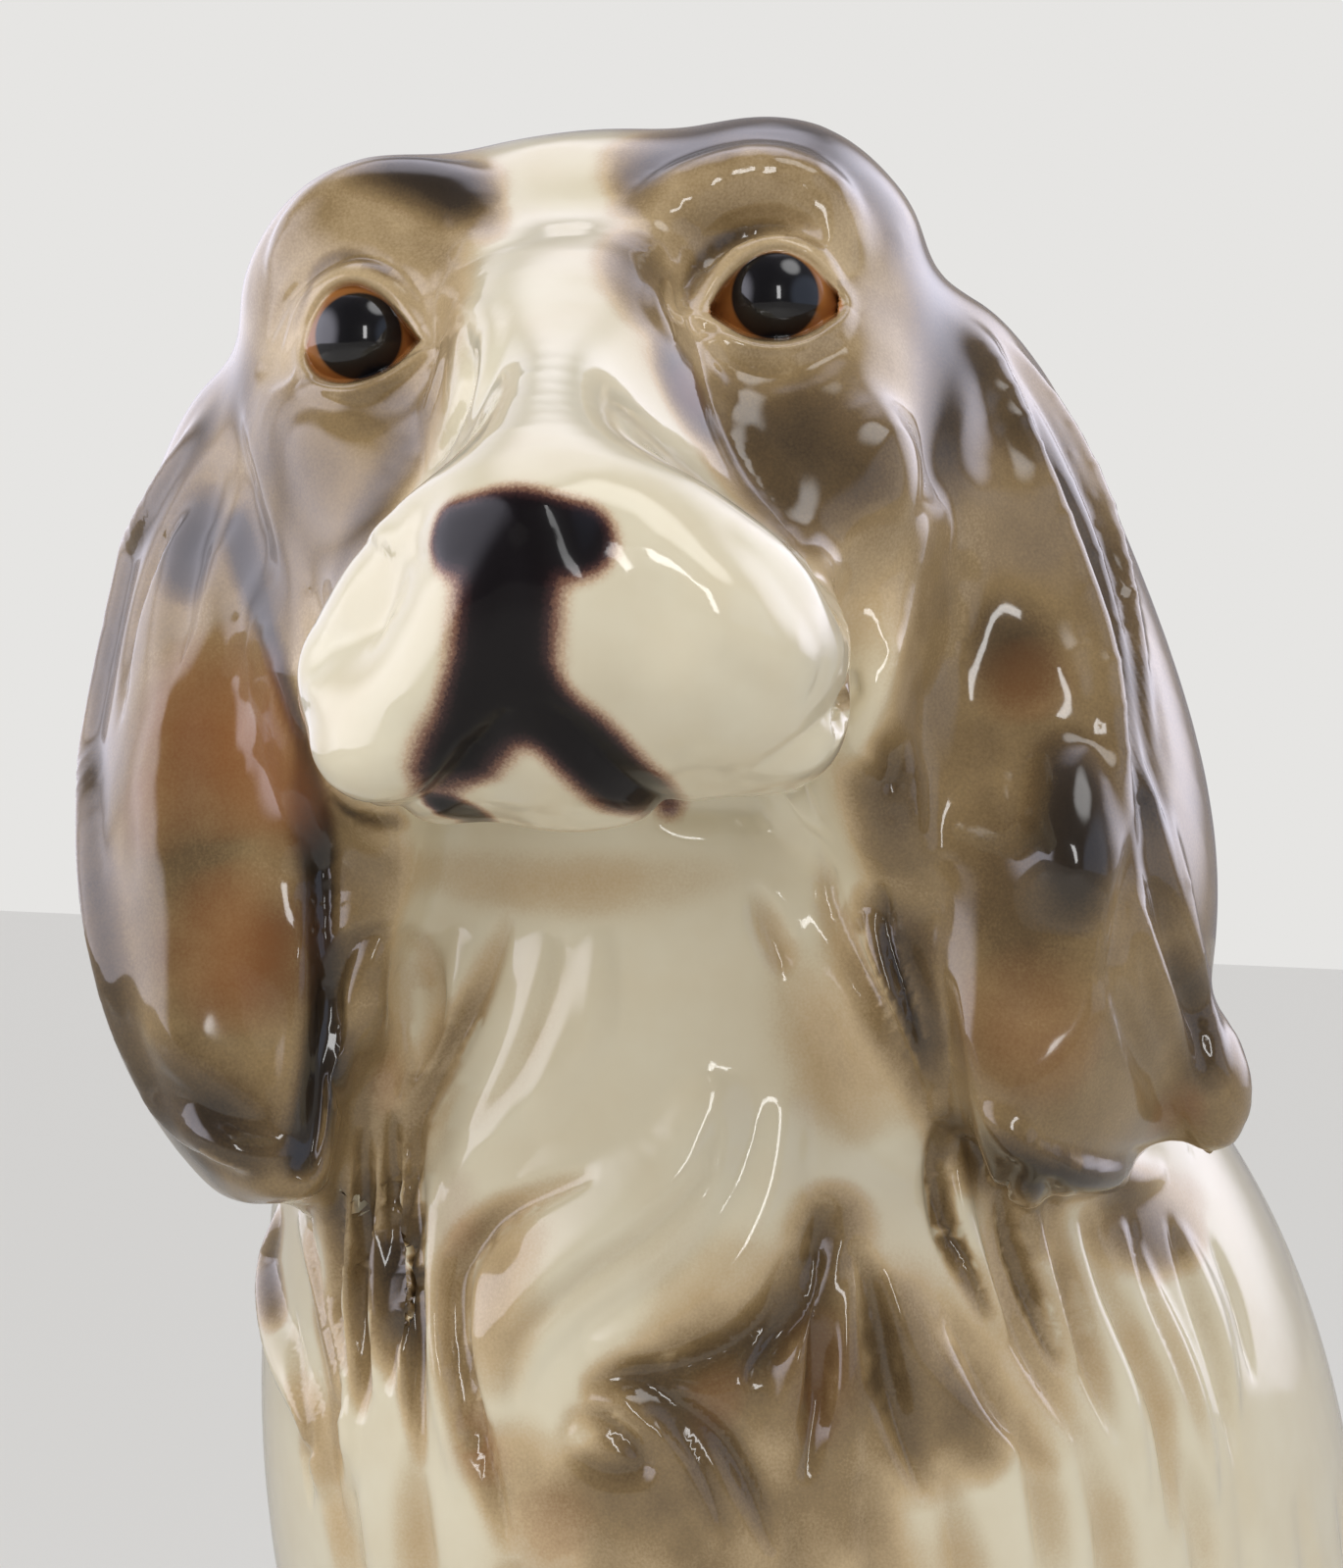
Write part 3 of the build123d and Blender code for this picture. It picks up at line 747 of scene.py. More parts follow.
CHEST_RIDGES = (
    # places, width, height
    ([(-19, -64.4), (-19.8, -70.9), (-19, -77.5), (-18, -82.9)], 4, 1.3),
    ([(-11, -62.9), (-12.2, -71.9), (-15.8, -79.9)], 3, 0.9),
    ([(-2, -63.9), (-4, -73.9), (-8, -82.9), (-12.8, -91.9)], 6, 1.5),
    ([(3.5, -63), (2, -71.9), (-0.8, -77.5), (-3.5, -83.9)], 4, 0.9),
    ([(15.5, -77.5), (12.5, -86.4), (6.5, -92.4), (-1.5, -97.9), (-7, -104.9), (-8, -113.9)], 8, 2.6),
    ([(22.5, -79.9), (20.5, -89.9), (16, -97.9), (10, -102.9), (2, -105.4)], 5, 1.6),
    ([(-19.4, -84.9), (-19.4, -97.9), (-19.6, -110.9)], 1.8, 1.3),
    ([(-16.9, -82.9), (-16.8, -97.9), (-17, -111.9)], 1.8, 1.1),
    ([(-22.3, -85.9), (-22.3, -97.9), (-22, -109.9)], 1.8, 1.1),
    ([(-29.5, -91.7), (-30.5, -97.9), (-29, -105.9), (-26, -112.9), (-25, -120.9)], 4, 2.2),
    ([(-27.5, -91.9), (-25, -100.9), (-22.8, -110.9), (-22.4, -120.9)], 2.5, 1.2),
    ([(-13.4, -85.9), (-13.4, -97.9), (-12.8, -109.9), (-11, -120.9)], 2.6, 1.3),
    ([(27, -94.9), (23.5, -106.9), (21.7, -114.9)], 3, 1.4),
    ([(28.8, -97.9), (28.2, -107.9), (28.8, -119.9)], 3, 1.3),
    ([(32, -97.9), (36, -106.9), (41, -112.9), (47, -116.9)], 5, 1.6),
    ([(39.5, -83.9), (39.8, -90.9), (41.6, -97.9), (45, -104.9)], 2.6, 1.8),
    ([(47.2, -87.4), (47, -91.9), (48.6, -98.9), (52, -107.9)], 2.6, 1.4),
    ([(56, -92.9), (58.8, -99.9), (63.5, -110.9), (66, -121.9)], 4, 1.3),
    ([(51, -91.9), (53, -100.9), (57, -110.9), (59, -121.9)], 3, 1.0),
    ([(62, -92.9), (66, -102.9), (68.2, -112.9)], 4, 1.0),
    ([(30.5, -60.8), (33.5, -68.9), (37, -79)], 4, 1.4),
    ([(22, -57.9), (27, -68.9), (32, -78.9)], 5, 0.8),
    ([(9, -112.9), (14, -119.9), (16, -126.9)], 3, 0.9),
    ([(2, -109.9), (7, -111.9), (11, -115.9)], 3, 0.8),
)
CHEST_GROOVES = (
    # places, width, depth, how much umber settles in it
    ([(-17.6, -62.6), (-22, -64.4), (-24.1, -68.8), (-23.7, -75.4), (-22.8, -81.9)], 2.4, -1.6, 0.40),
    ([(-17.6, -62.6), (-14.4, -64.4), (-13.3, -68.9), (-14, -73.9), (-17.5, -80.4)], 2.0, -1.0, 0.22),
    ([(-5.9, -61.5), (-8, -66.9), (-9.5, -70.3), (-13.9, -79), (-16.8, -86.3)], 2.6, -1.8, 0.50),
    ([(-0.5, -62.9), (-2, -69.9), (-5, -76.9), (-10, -83.9)], 2.6, -0.8, 0.14),
    ([(-20.8, -82.9), (-20.8, -87.7), (-21, -97.9), (-20.8, -106.9), (-21.2, -112.9)], 2.4, -2.4, 0.85),
    ([(-17.9, -80.9), (-18, -90.9), (-17.7, -100.9), (-18.2, -109.9)], 2.2, -2.2, 0.80),
    ([(-15, -81.9), (-15.9, -89.9), (-15.8, -100.9), (-15.6, -110.9), (-14.8, -117.9)], 2.3, -2.3, 0.80),
    ([(-23.5, -86.9), (-23.5, -96.9), (-23, -107.9)], 2.0, -1.4, 0.55),
    ([(-26.6, -90.9), (-25.8, -100.9), (-24, -109.9), (-23.4, -119.9)], 2.0, -1.4, 0.45),
    ([(-28, -101.9), (-27.4, -110.9), (-26.2, -121.9)], 1.8, -1.1, 0.20),
    ([(2.8, -87.7), (-5.9, -91.3), (-10, -95.4), (-11.7, -99.9), (-11, -108.1), (-8.1, -119),
      (-6, -126.9)], 3.0, -2.4, 0.60),
    ([(15.5, -81.9), (13.5, -88.4), (8, -94.1), (1, -99.1), (-5, -104.9), (-6, -111.9)], 3.0, -1.3, 0.10),
    ([(23.2, -95), (21, -100.9), (17.4, -105.2), (11, -107.9), (5.7, -108.4),
      (1, -109.9)], 3.2, -2.2, 0.50),
    ([(26.1, -90.6), (25, -96.9), (23.5, -101.4), (18.1, -108.8)], 3.0, -2.6, 0.70),
    ([(26.8, -93.5), (25.8, -101.9), (25.4, -110.9), (24, -119)], 2.6, -2.0, 0.45),
    ([(29, -94.9), (30.8, -98.9), (32.5, -107.9), (34.2, -113.9), (36.3, -120.9)], 2.8, -2.3, 0.50),
    ([(-0.8, -114.9), (0.5, -112.5), (3.5, -112.9), (6.5, -115.4), (7.5, -117.9), (4, -118.4),
      (1, -116.9), (-0.8, -114.9)], 1.9, -1.1, 0.30),
    ([(4, -108.4), (8, -109.7), (12, -111.9), (16, -115.4), (19, -120.9), (21, -126.9)], 2.6, -1.9, 0.60),
    ([(6, -110.3), (11, -113.9), (14.2, -118.9), (16.5, -125.9)], 2.4, -1.4, 0.50),
    ([(37.7, -82.4), (37.3, -87.9), (38.5, -93.5), (40.8, -97.9), (43, -102.9)], 2.2, -2.4, 0.90),
    ([(45.7, -86.3), (44.2, -89.4), (44.8, -93.9), (46.8, -99.9), (50, -107.9)], 2.0, -2.0, 0.60),
    ([(42, -85.9), (42.4, -90.9), (44, -97.9), (46.6, -105.4), (52, -114.9)], 2.4, -1.2, 0.25),
    ([(49.4, -87.9), (49.6, -95), (52.3, -104.9), (56, -114.9)], 2.4, -1.4, 0.28),
    ([(52.3, -91.4), (54, -96.9), (57.5, -104.9), (60.5, -112.9), (62, -126.3)], 2.4, -1.5, 0.26),
    ([(57, -91.9), (59.2, -98.9), (63, -107.9), (65.8, -117.9)], 2.2, -1.2, 0.18),
    ([(61, -91.9), (63.5, -98.9), (66.5, -107.9), (68.2, -117.9)], 2.2, -1.2, 0.14),
    ([(65.4, -94.1), (68.2, -100.9), (70, -108.9)], 2.0, -0.9, 0.08),
    ([(38, -99.9), (41, -105.9), (44, -111.9), (50, -118.9)], 2.4, -1.3, 0.25),
    ([(18.8, -58.6), (20.5, -62.9), (22.5, -67.4)], 2.4, -1.1, 0.25),
    ([(25.4, -54.3), (27, -60.9), (29.7, -67.4), (34.8, -77.5), (36.5, -82.9)], 2.6, -1.7, 0.32),
    ([(31.9, -57.9), (32.5, -63), (35, -70.9), (36.8, -77.9)], 2.2, -1.8, 0.50),
    # on down the breast
    ([(-25.8, -107.9), (-25, -116.9), (-22.8, -127.9)], 2.8, -1.6, 0.18),
    ([(-23, -115.9), (-21.8, -129.9), (-18.8, -142.9)], 3.4, -1.8, 0.20),
    ([(-16, -114.9), (-14.8, -129.9), (-12.5, -141.9)], 3.6, -2.0, 0.28),
    ([(-6, -126.9), (-3.8, -135.9), (-4.5, -146.9)], 3.8, -1.7, 0.28),
    ([(2, -123.9), (6, -132.9), (7.2, -144.9)], 3.8, -1.7, 0.28),
    ([(12, -123.9), (15, -133.9), (14.2, -146.9)], 3.8, -1.7, 0.28),
    ([(22, -119.9), (23.6, -131.9), (22, -146.9)], 3.8, -1.8, 0.32),
    ([(30, -117.9), (31.6, -129.9), (30, -143.9)], 3.8, -1.7, 0.28),
    ([(38, -117.9), (40.6, -129.9), (40.2, -142.9)], 3.6, -1.8, 0.26),
    ([(46, -111.9), (48.6, -121.9), (50, -131.9)], 3.2, -1.6, 0.20),
    ([(52, -112.9), (55.2, -124.9), (56.2, -138.9)], 3.6, -1.8, 0.20),
    ([(62, -115.9), (64.6, -125.9), (65, -136.9)], 3.4, -1.4, 0.14),
)


def model_chest(skin):
    """Long locks of hair, combed down and across the chest."""
    skin.strokes(CHEST_RIDGES)
    skin.refresh()
    for places, width, depth, _ in CHEST_GROOVES:
        skin.stroke(places, width, depth, crease)
    skin.refresh()


TOES = (-7, 0, 7)
PAWS = ((28.5, -99), (52, -44))                 # out from the middle, and its front
TOE_WIDTH, TOE_DEPTH = 3.6, -1.8
COAT_LOCKS = (
    # how many of each, then rows of: the first lock's places from the point under the shoulders,
    # how far each place moves from one lock to the next, width, height, profile
    (7, (
        # thigh
        ([(58, 78, 96), (70, 68, 62), (70, 52, 24)],
         [(0, -16, -2), (0, -15, -2), (0, -13, 0)], 5, -1.5, crease),
        ([(56, 70, 90), (70, 60, 56), (68, 44, 20)],
         [(0, -16, -2), (0, -15, 0), (0, -13, 0)], 6, 1.0, mound),
    )),
    (5, (
        # flank
        ([(44, -34, 196), (52, -26, 158), (54, -8, 118)],
         [(0, 15, -3), (0, 17, -2), (0, 18, 0)], 6, -1.2, crease),
        # foreleg
        ([(40, -8, 160), (36, -20, 140), (30, -28, 122)],
         [(0, -2, -26), (0, 0, -26), (0, 0, -26)], 4.5, -1.2, crease),
        # nape
        ([(0, 24, 282), (0, 46, 240), (0, 66, 200)],
         [(9, 0, 0), (10, 0, -4), (11, -3, -5)], 6, -1.1, crease),
    )),
)
TAIL_LOCK = [(30, 96, 20), (56, 106, 22), (84, 88, 14)]
TAIL_LOCK_STEP = [(0, -6, -2), (0, -8, -3), (0, -8, 0)]
TAIL_LOCKS, TAIL_LOCK_WIDTH, TAIL_LOCK_DEPTH = 4, 4.5, -1.4


def moved(places, steps, k):
    """The places, each moved by k of its own steps."""
    return [tuple(p + k * s for p, s in zip(place, step)) for place, step in zip(places, steps)]


def model_coat(skin):
    """Toes, and the locks on the sides, legs, tail and nape."""
    chance = random.Random(5)
    for side in (-1, 1):
        body = local_to_body(side)
        for toe in TOES:
            for paw, front in PAWS:
                line = skin.nearest_line([(paw + toe, front + 14, 17), (paw + 1.1 * toe, front + 3, 11),
                                          (paw + 1.15 * toe, front, 4)], 2, body)
                skin.press(line, TOE_WIDTH, TOE_DEPTH, crease)
        for count, rows in COAT_LOCKS:
            for k in range(count):
                for places, steps, width, height, shape in rows:
                    strayed = [(x + chance.uniform(-1, 1), y + chance.uniform(-2, 2),
                                z + chance.uniform(-2, 2)) for x, y, z in moved(places, steps, k)]
                    line = skin.nearest_line(strayed, 3, body)
                    skin.press(line, width * chance.uniform(0.85, 1.2), height, shape)
    for k in range(TAIL_LOCKS):
        line = skin.nearest_line(moved(TAIL_LOCK, TAIL_LOCK_STEP, k), 3, local_to_body())
        skin.press(line, TAIL_LOCK_WIDTH, TAIL_LOCK_DEPTH, crease)
    skin.refresh()


# ---------------------------------------------------------------- airbrush

# the cream blaze's half width, at heights from between the eyes
BLAZE_HEIGHTS = (-30, -18, -8, 4, 20, 30)
BLAZE_WIDTHS = (22, 15, 9, 7, 7.5, 6)
BLAZE_FADE, HOOD_FRONT, HOOD_UNDERSIDE = (-1.5, 3.5), (-34, -12), (-46, -24)       # from none to full
SKULL_BACK = (42, 60)
HOOD, EARS, BODY_SHARE, NAPE = 0.36, 0.45, 0.85, 0.3            # how dark
NAPE_RISE, NAPE_BACK = (222, 286), (-20, 10)
NAPE_BLEND_RISE, NAPE_BLEND_BACK = (210, 240), (-14, 8)
EYE_RINGS = (
    ((-29, -3.9), (-24, 3.1), (-17, 2.1), (-15, -2.9)),
    ((13.5, -0.9), (17, 5.6), (24, 6.1), (28, 1.1)),
)
# places, width, strength and, if set, how the ends thin
SPRAYS = {
    "umber": (
        # brows and the crown's sides
        ([(-29.5, 10.6), (-23.5, 15.6), (-15, 15.6), (-8, 10.6)], 8, 0.6),
        ([(-23, 14.3), (-16, 14.1), (-10, 11.6), (-7.5, 7.1)], 5, 0.65),
        ([(-29, 14.1), (-22, 17.6), (-13, 19.3)], 6, 0.6),
        ([(6, 12.1), (8, 15.6), (16, 18.6), (25, 17.6), (32, 11.6), (36, 3.1)], 9, 0.75),
        ([(6.5, 9.6), (8, 14.1), (12.5, 16.1), (18, 17.1)], 5.5, 0.6),
        ([(35, 9.1), (38, 0.1), (38.5, -9.9), (37, -19.9)], 8, 0.65),
        # under the eyes, down the cheeks
        ([(-23.5, -8.9), (-19, -10.4), (-15.5, -7.9)], 5, 0.3),
        ([(-31.8, -7.9), (-29, -16.9), (-24.5, -26.9)], 12, 0.35),
        ([(-14, -7.9), (-17, -14.9), (-21.5, -22.9), (-24.5, -27.9)], 5, 0.5),
        ([(-34, 2.1), (-34.2, -5.9), (-32.5, -12.9)], 6, 0.4),
        ([(9.5, -1.9), (12, -7.9), (15.5, -13.4)], 5.5, 0.75),
        ([(14, -6.4), (19.5, -12.9), (24.5, -19.9), (27, -24.4)], 11, 0.55),
        ([(22, -6.9), (29, -11.9), (30, -19.9)], 11, 0.4),
        ([(6.5, 8.6), (7, 2.1), (9.2, -2.9)], 6, 0.5),
        ([(-33, -15.9), (-30.5, -25.9), (-28, -35.9)], 6, 0.4),
        ([(28.6, -36.9), (28, -40.9)], 1.6, 0.5),
        # right ear
        ([(-36.7, -16.9), (-38, -23.9), (-39.6, -29.9)], 7.5, 0.95),
        ([(-37.5, -11.9), (-43, -21.9), (-46.8, -35.9), (-48.4, -52.9), (-46.8, -67.9), (-42.5, -80.9),
          (-37, -87.4)], 4.5, 0.5, even),
        ([(-34, -21.9), (-29.5, -36.9), (-26.6, -46.9), (-25.6, -62.9), (-26, -77.9),
          (-27.4, -85.9)], 3.4, 0.9, even),
        ([(-43, -73.9), (-36.5, -82.9), (-29, -85.9)], 8, 0.6),
        ([(-36.5, -41.9), (-40, -55.9), (-39, -67.9)], 9, 0.25),
        ([(-29, -57.9), (-30, -72.9)], 6, 0.35),
        # left ear
        ([(43, -5.9), (50, -14.9), (55, -27.9), (58, -43.9), (60, -57.9)], 8, 0.45, even),
        ([(40.5, -31.9), (45, -33.9), (48.2, -39.9)], 8, 0.5),
        ([(51, -41.9), (51.8, -52.9), (50.8, -63.9)], 8, 0.85),
        ([(43, -47.9), (45, -60.9), (47, -71.9)], 8, 0.3),
        ([(61, -63.9), (64.5, -73.9), (66, -79.9)], 6, 0.5),
        ([(42, -83.9), (50, -88.4), (60, -89.4)], 5, 0.7),
        ([(32, -41.9), (33.5, -49.9), (34.5, -57.9)], 7, 0.35),
        # throat and chest
        # painted shadow and painted reflection of the muzzle: a light umber band across the throat under
        # the chin
        ([(-24, -56.1), (2, -58.4), (20, -56.9)], 6, 0.2),
        ([(30, -57.9), (34, -68.9), (37.5, -79.4)], 7, 0.5),
        ([(22, -63.9), (27, -75.9), (30, -85.9)], 10, 0.25),
        ([(-29, -91.4), (-30.5, -97.9), (-29.5, -103.9)], 5, 0.75),
        ([(-20.2, -86.9), (-19.8, -96.9), (-20, -107.9)], 7, 0.6),
        ([(-16, -86.9), (-15.5, -96.9), (-15, -107.9)], 6, 0.6),
        ([(-24.2, -66.9), (-24.6, -76.9), (-23.5, -86.9)], 4, 0.4),
        ([(26.6, -87.9), (26.6, -97.9)], 7, 0.5),
        ([(6, -101.9), (20, -103.9), (32, -105.9), (38, -115.9)], 18, 0.3),
        ([(-2, -115.9), (14, -117.9), (30, -119.9)], 18, 0.3),
        ([(42, -92.9), (48, -105.9), (50, -117.9)], 14, 0.22),
        ([(-18, -63.9), (-18, -77.9), (-16, -92.9)], 14, 0.22),
        ([(-2, -90.9), (-8, -99.9), (-8, -111.9)], 8, 0.3),
        ([(-28, -107.9), (-25, -119.9)], 8, 0.15),
        ([(24.5, -95.9), (20, -105.9), (14, -109.4), (7, -110.9), (2, -112.9)], 10, 0.45),
        ([(28, -95.9), (29, -107.9), (28, -117.9), (30, -126.9)], 11, 0.48),
        ([(32, -97.9), (36, -109.9), (37.5, -121.9)], 9, 0.45),
        ([(-10, -127.9), (7, -131.9), (27, -131.9), (42, -127.9)], 20, 0.3),
        ([(54, -90.5), (60, -90.5), (65.6, -89.9)], 6, 0.4),
        ([(2, -138.9), (17, -140.9), (30, -137.9)], 18, 0.2),
        ([(2, -114.9), (6, -119.9), (14, -125.9)], 11, 0.5),
        ([(-6, -111.9), (-4, -119.9), (0, -126.9)], 8, 0.35),
        ([(38, -105.9), (41.5, -112.9), (43.5, -119.9)], 6, 0.45),
        ([(38, -80.9), (42, -85.9), (50, -89.4)], 6, 0.6),
        ([(52, -91.7), (59, -94.7), (65.5, -93.7)], 6, 0.6),
        ([(48, -88.9), (48.5, -96.9)], 5, 0.35),
        ([(-25, -48.5), (-21.5, -51.3), (-16, -52.1)], 2.4, 0.5),
        # creases of the lids
        ([(12, -0.1), (12.4, 3.1), (14.2, 5.9), (17, 7.8), (20.5, 8.9), (23.2, 8.5)], 1.5, 0.5),
        ([(-28.4, -2.4), (-25.4, 4.5), (-21.6, 5.7), (-16.8, 2.9)], 1.3, 0.3),
    ),
    "rust": (
        ([(-37.5, -31.9), (-34.5, -43.9), (-33.5, -53.9)], 14, 0.7),
        ([(-31.2, -33.9), (-29, -45.9), (-29, -55.9)], 8, 0.55),
        ([(-35.5, -55.9), (-33.5, -63.9), (-34, -73.9)], 11, 0.6),
        ([(-43, -45.9), (-43, -55.9)], 7, 0.3),
        ([(46, -32.9), (47.2, -41.9)], 7, 0.35),
        ([(42, -65.9), (47, -72.9), (54, -76.9)], 10, 0.35),
        ([(-8, -111.9), (-9, -119.9)], 6, 0.35),
        ([(26, -100.9), (25, -115.9)], 6, 0.3),
        ([(-17.8, -74.9), (-18.8, -81.9)], 3, 0.35),
        ([(-10.5, -86.9), (-12.8, -96.9)], 4, 0.3),
        ([(-6, -121.9), (2, -126.9)], 8, 0.3),
        ([(18, -111.9), (12, -109.9)], 6, 0.25),
        ([(11, -4.9), (14, -10.9)], 5, 0.25),
        ([(59, -82.9), (65, -79.9)], 5, 0.35),
    ),
    "black": (
        ([(-11.4, -22.7), (-5.5, -21.9), (0.8, -23.1)], 5.2, 1.15, even),
        ([(-11.8, -22.7), (-5.5, -21.7), (1.2, -22.9)], 3.6, 1.0, even),
        ([(-6, -23.9), (-6.5, -31.9), (-6.8, -38.4)], 7.2, 1.15, even),
        ([(-6, -23.9), (-6.5, -31.9), (-6.8, -38.4)], 5.0, 1.0, even),
        ([(-7.2, -39.4), (-11.5, -44.9), (-14.8, -49.7)], 6.6, 1.15, end_thin),
        ([(-4.8, -39.1), (0.5, -43.1), (5.5, -47.6), (12.5, -50.7)], 5.2, 1.2, end_thin),
        ([(-4.8, -39.1), (0.5, -43.1), (5.5, -47.6), (11, -50.1)], 3.0, 0.9, end_thin),
        ([(-15, -49.1), (-11, -50.9), (-8, -52.1)], 3.4, 1.2),
    ),
}
COAT_SPRAYS = (
    # places from the point under the shoulders, width, strength; the same on both sides
    ([(46, 78, 96), (62, 56, 78), (68, 30, 60)], 26, 0.30),
    ([(62, 4, 30), (70, 34, 20), (62, 66, 18)], 16, 0.22),
    ([(36, -30, 120), (34, -24, 84), (32, -28, 50)], 12, 0.2),
    ([(60, 102, 18), (78, 96, 16), (86, 84, 12)], 16, 0.35),
)


def spray_hood(skin, owners):
    """A brown hood over the head's sides, with a cream blaze, and brown ears."""
    x, y, z = local_to_head(skin.points).T
    blaze = np.interp(z, BLAZE_HEIGHTS, BLAZE_WIDTHS)
    hood = ease(np.abs(x + 1.0) - blaze, *BLAZE_FADE) * ease(y, *HOOD_FRONT) * ease(z, *HOOD_UNDERSIDE)
    hood = np.maximum(hood, ease(y, *SKULL_BACK) * ease(z, *HOOD_UNDERSIDE))
    layer = skin.colours["umber"]
    layer[:] = HOOD * hood * (owners >= len(BODY_NODES))
    layer[owners > len(BODY_NODES)] = EARS
    blended = layer[:, None]
    for _ in range(40):
        blended = skin.averages(blended)
    layer[:] = blended[:, 0]
    for places in EYE_RINGS:
        skin.wipe("umber", skin.seen_line(places, 2), 7, 0.35)


def blend_nape(skin, owners):
    """Thins the umber on the body, carries it down the nape and evens it out there."""
    umber = skin.colours["umber"]
    _, y, z = skin.points.T
    body = owners < len(BODY_NODES)
    umber[body] *= BODY_SHARE
    umber[:] = np.maximum(umber, NAPE * ease(z, *NAPE_RISE) * ease(y, *NAPE_BACK) * body)
    blended = umber[:, None]
    for _ in range(30):
        blended = skin.averages(blended)
    umber += (blended[:, 0] - umber) * ease(y, *NAPE_BLEND_BACK) * ease(z, *NAPE_BLEND_RISE)


def airbrush(skin, owners):
    """Fills the colour layers, each from 0 to 1."""
    for channel, sprays in SPRAYS.items():
        skin.colours[channel] = np.zeros(len(skin.points))
        if channel == "umber":
            spray_hood(skin, owners)
        for places, width, strength, *taper in sprays:
            skin.dab(channel, places, width, strength, *taper)
    for places, width, _, strength in CHEST_GROOVES:
        skin.dab("umber", places, width * 1.5, strength * 0.8)
    for side in (-1, 1):
        for places, width, strength in COAT_SPRAYS:
            skin.spray("umber", skin.nearest_line(places, 4, local_to_body(side)), width, strength)
    blend_nape(skin, owners)


# ---------------------------------------------------------------- finish

MATH, VECTORS, MIX, RAMP = "ShaderNodeMath", "ShaderNodeVectorMath", "ShaderNodeMix", "ShaderNodeValToRGB"
NOISE, RANGE = "ShaderNodeTexNoise", "ShaderNodeMapRange"
ATTRIBUTE, COORDINATES, RAY = "ShaderNodeAttribute", "ShaderNodeTexCoord", "ShaderNodeLightPath"
MIX_A, MIX_B, MIX_COLOUR = 6, 7, 2              # a colour mix's sockets


def hex_colour(text):
    """An sRGB colour as Blender's linear numbers."""
    parts = [int(text[i:i + 2], 16) / 255 for i in (1, 3, 5)]
    return (*[c / 12.92 if c <= 0.04045 else ((c + 0.055) / 1.055) ** 2.4 for c in parts], 1)


def node(tree, kind, inputs=(), output=0, stops=(), **settings):
    """Adds a node with its settings, inputs and a ramp's stops, and gives one of its outputs."""
    made = tree.nodes.new(kind)
    for key, value in settings.items():
        setattr(made, key, value)
    for key, value in dict(inputs).items():
        if isinstance(value, bpy.types.NodeSocket):
            tree.links.new(value, made.inputs[key])
        else:
            made.inputs[key].default_value = hex_colour(value) if isinstance(value, str) else value
    for place, _ in stops[1:-1]:
        made.color_ramp.elements.new(place)
    for index, (place, colour) in enumerate(stops):
        made.color_ramp.elements[index].position = place
        made.color_ramp.elements[index].color = hex_colour(colour)
    return made.outputs[output]


def off_axis(add, place, middle, axis):
    """Distance from a line through the middle of an eye, in m."""
    away = add(VECTORS, {0: place, 1: tuple(middle)}, operation="SUBTRACT")
    along = add(VECTORS, {0: away, 1: tuple(axis)}, "Value", operation="DOT_PRODUCT")
    straight = add(VECTORS, {0: tuple(axis), "Scale": along}, operation="SCALE")
    flat = add(VECTORS, {0: away, 1: straight}, operation="SUBTRACT")
    return add(VECTORS, {0: flat}, "Value", operation="LENGTH")


PUPIL_RADIUS, PUPIL_BLEND = 4.4, (-0.1, 0.15)
IRIS_REACH, IRIS_LIMIT = 8, 9
SPATTER = 0.3           # between drops of colour; real ones are finer, and this is as fine as shows
CLOUDS = 9              # between thicker and thinner passes of the airbrush
CREAM = ((0.3, "#dfd4b9"), (0.7, "#e4dcc4"))
UMBER = (
    (0, "#e1d8be"), (0.2, "#c6ae88"), (0.4, "#917a56"),
    (0.6, "#67543a"), (0.8, "#3a3025"), (1, "#201b17"),
)
UMBER_EDGE = ((0, "#000000"), (0.12, "#ffffff"))
RUST, RUST_STRENGTH = "#935526", 0.8
BLACK = (
    (0, "#e1d8be"), (0.2, "#c9b094"), (0.42, "#7f5c4b"),
    (0.62, "#3a2423"), (0.85, "#160f11"), (1, "#120e10"),
)
BLACK_EDGE = ((0, "#000000"), (0.2, "#ffffff"))
IRIS = ((0.45, "#5a3a20"), (0.62, "#96602f"), (0.8, "#b0743e"), (1, "#b98a5e"))
PUPIL = "#121113"


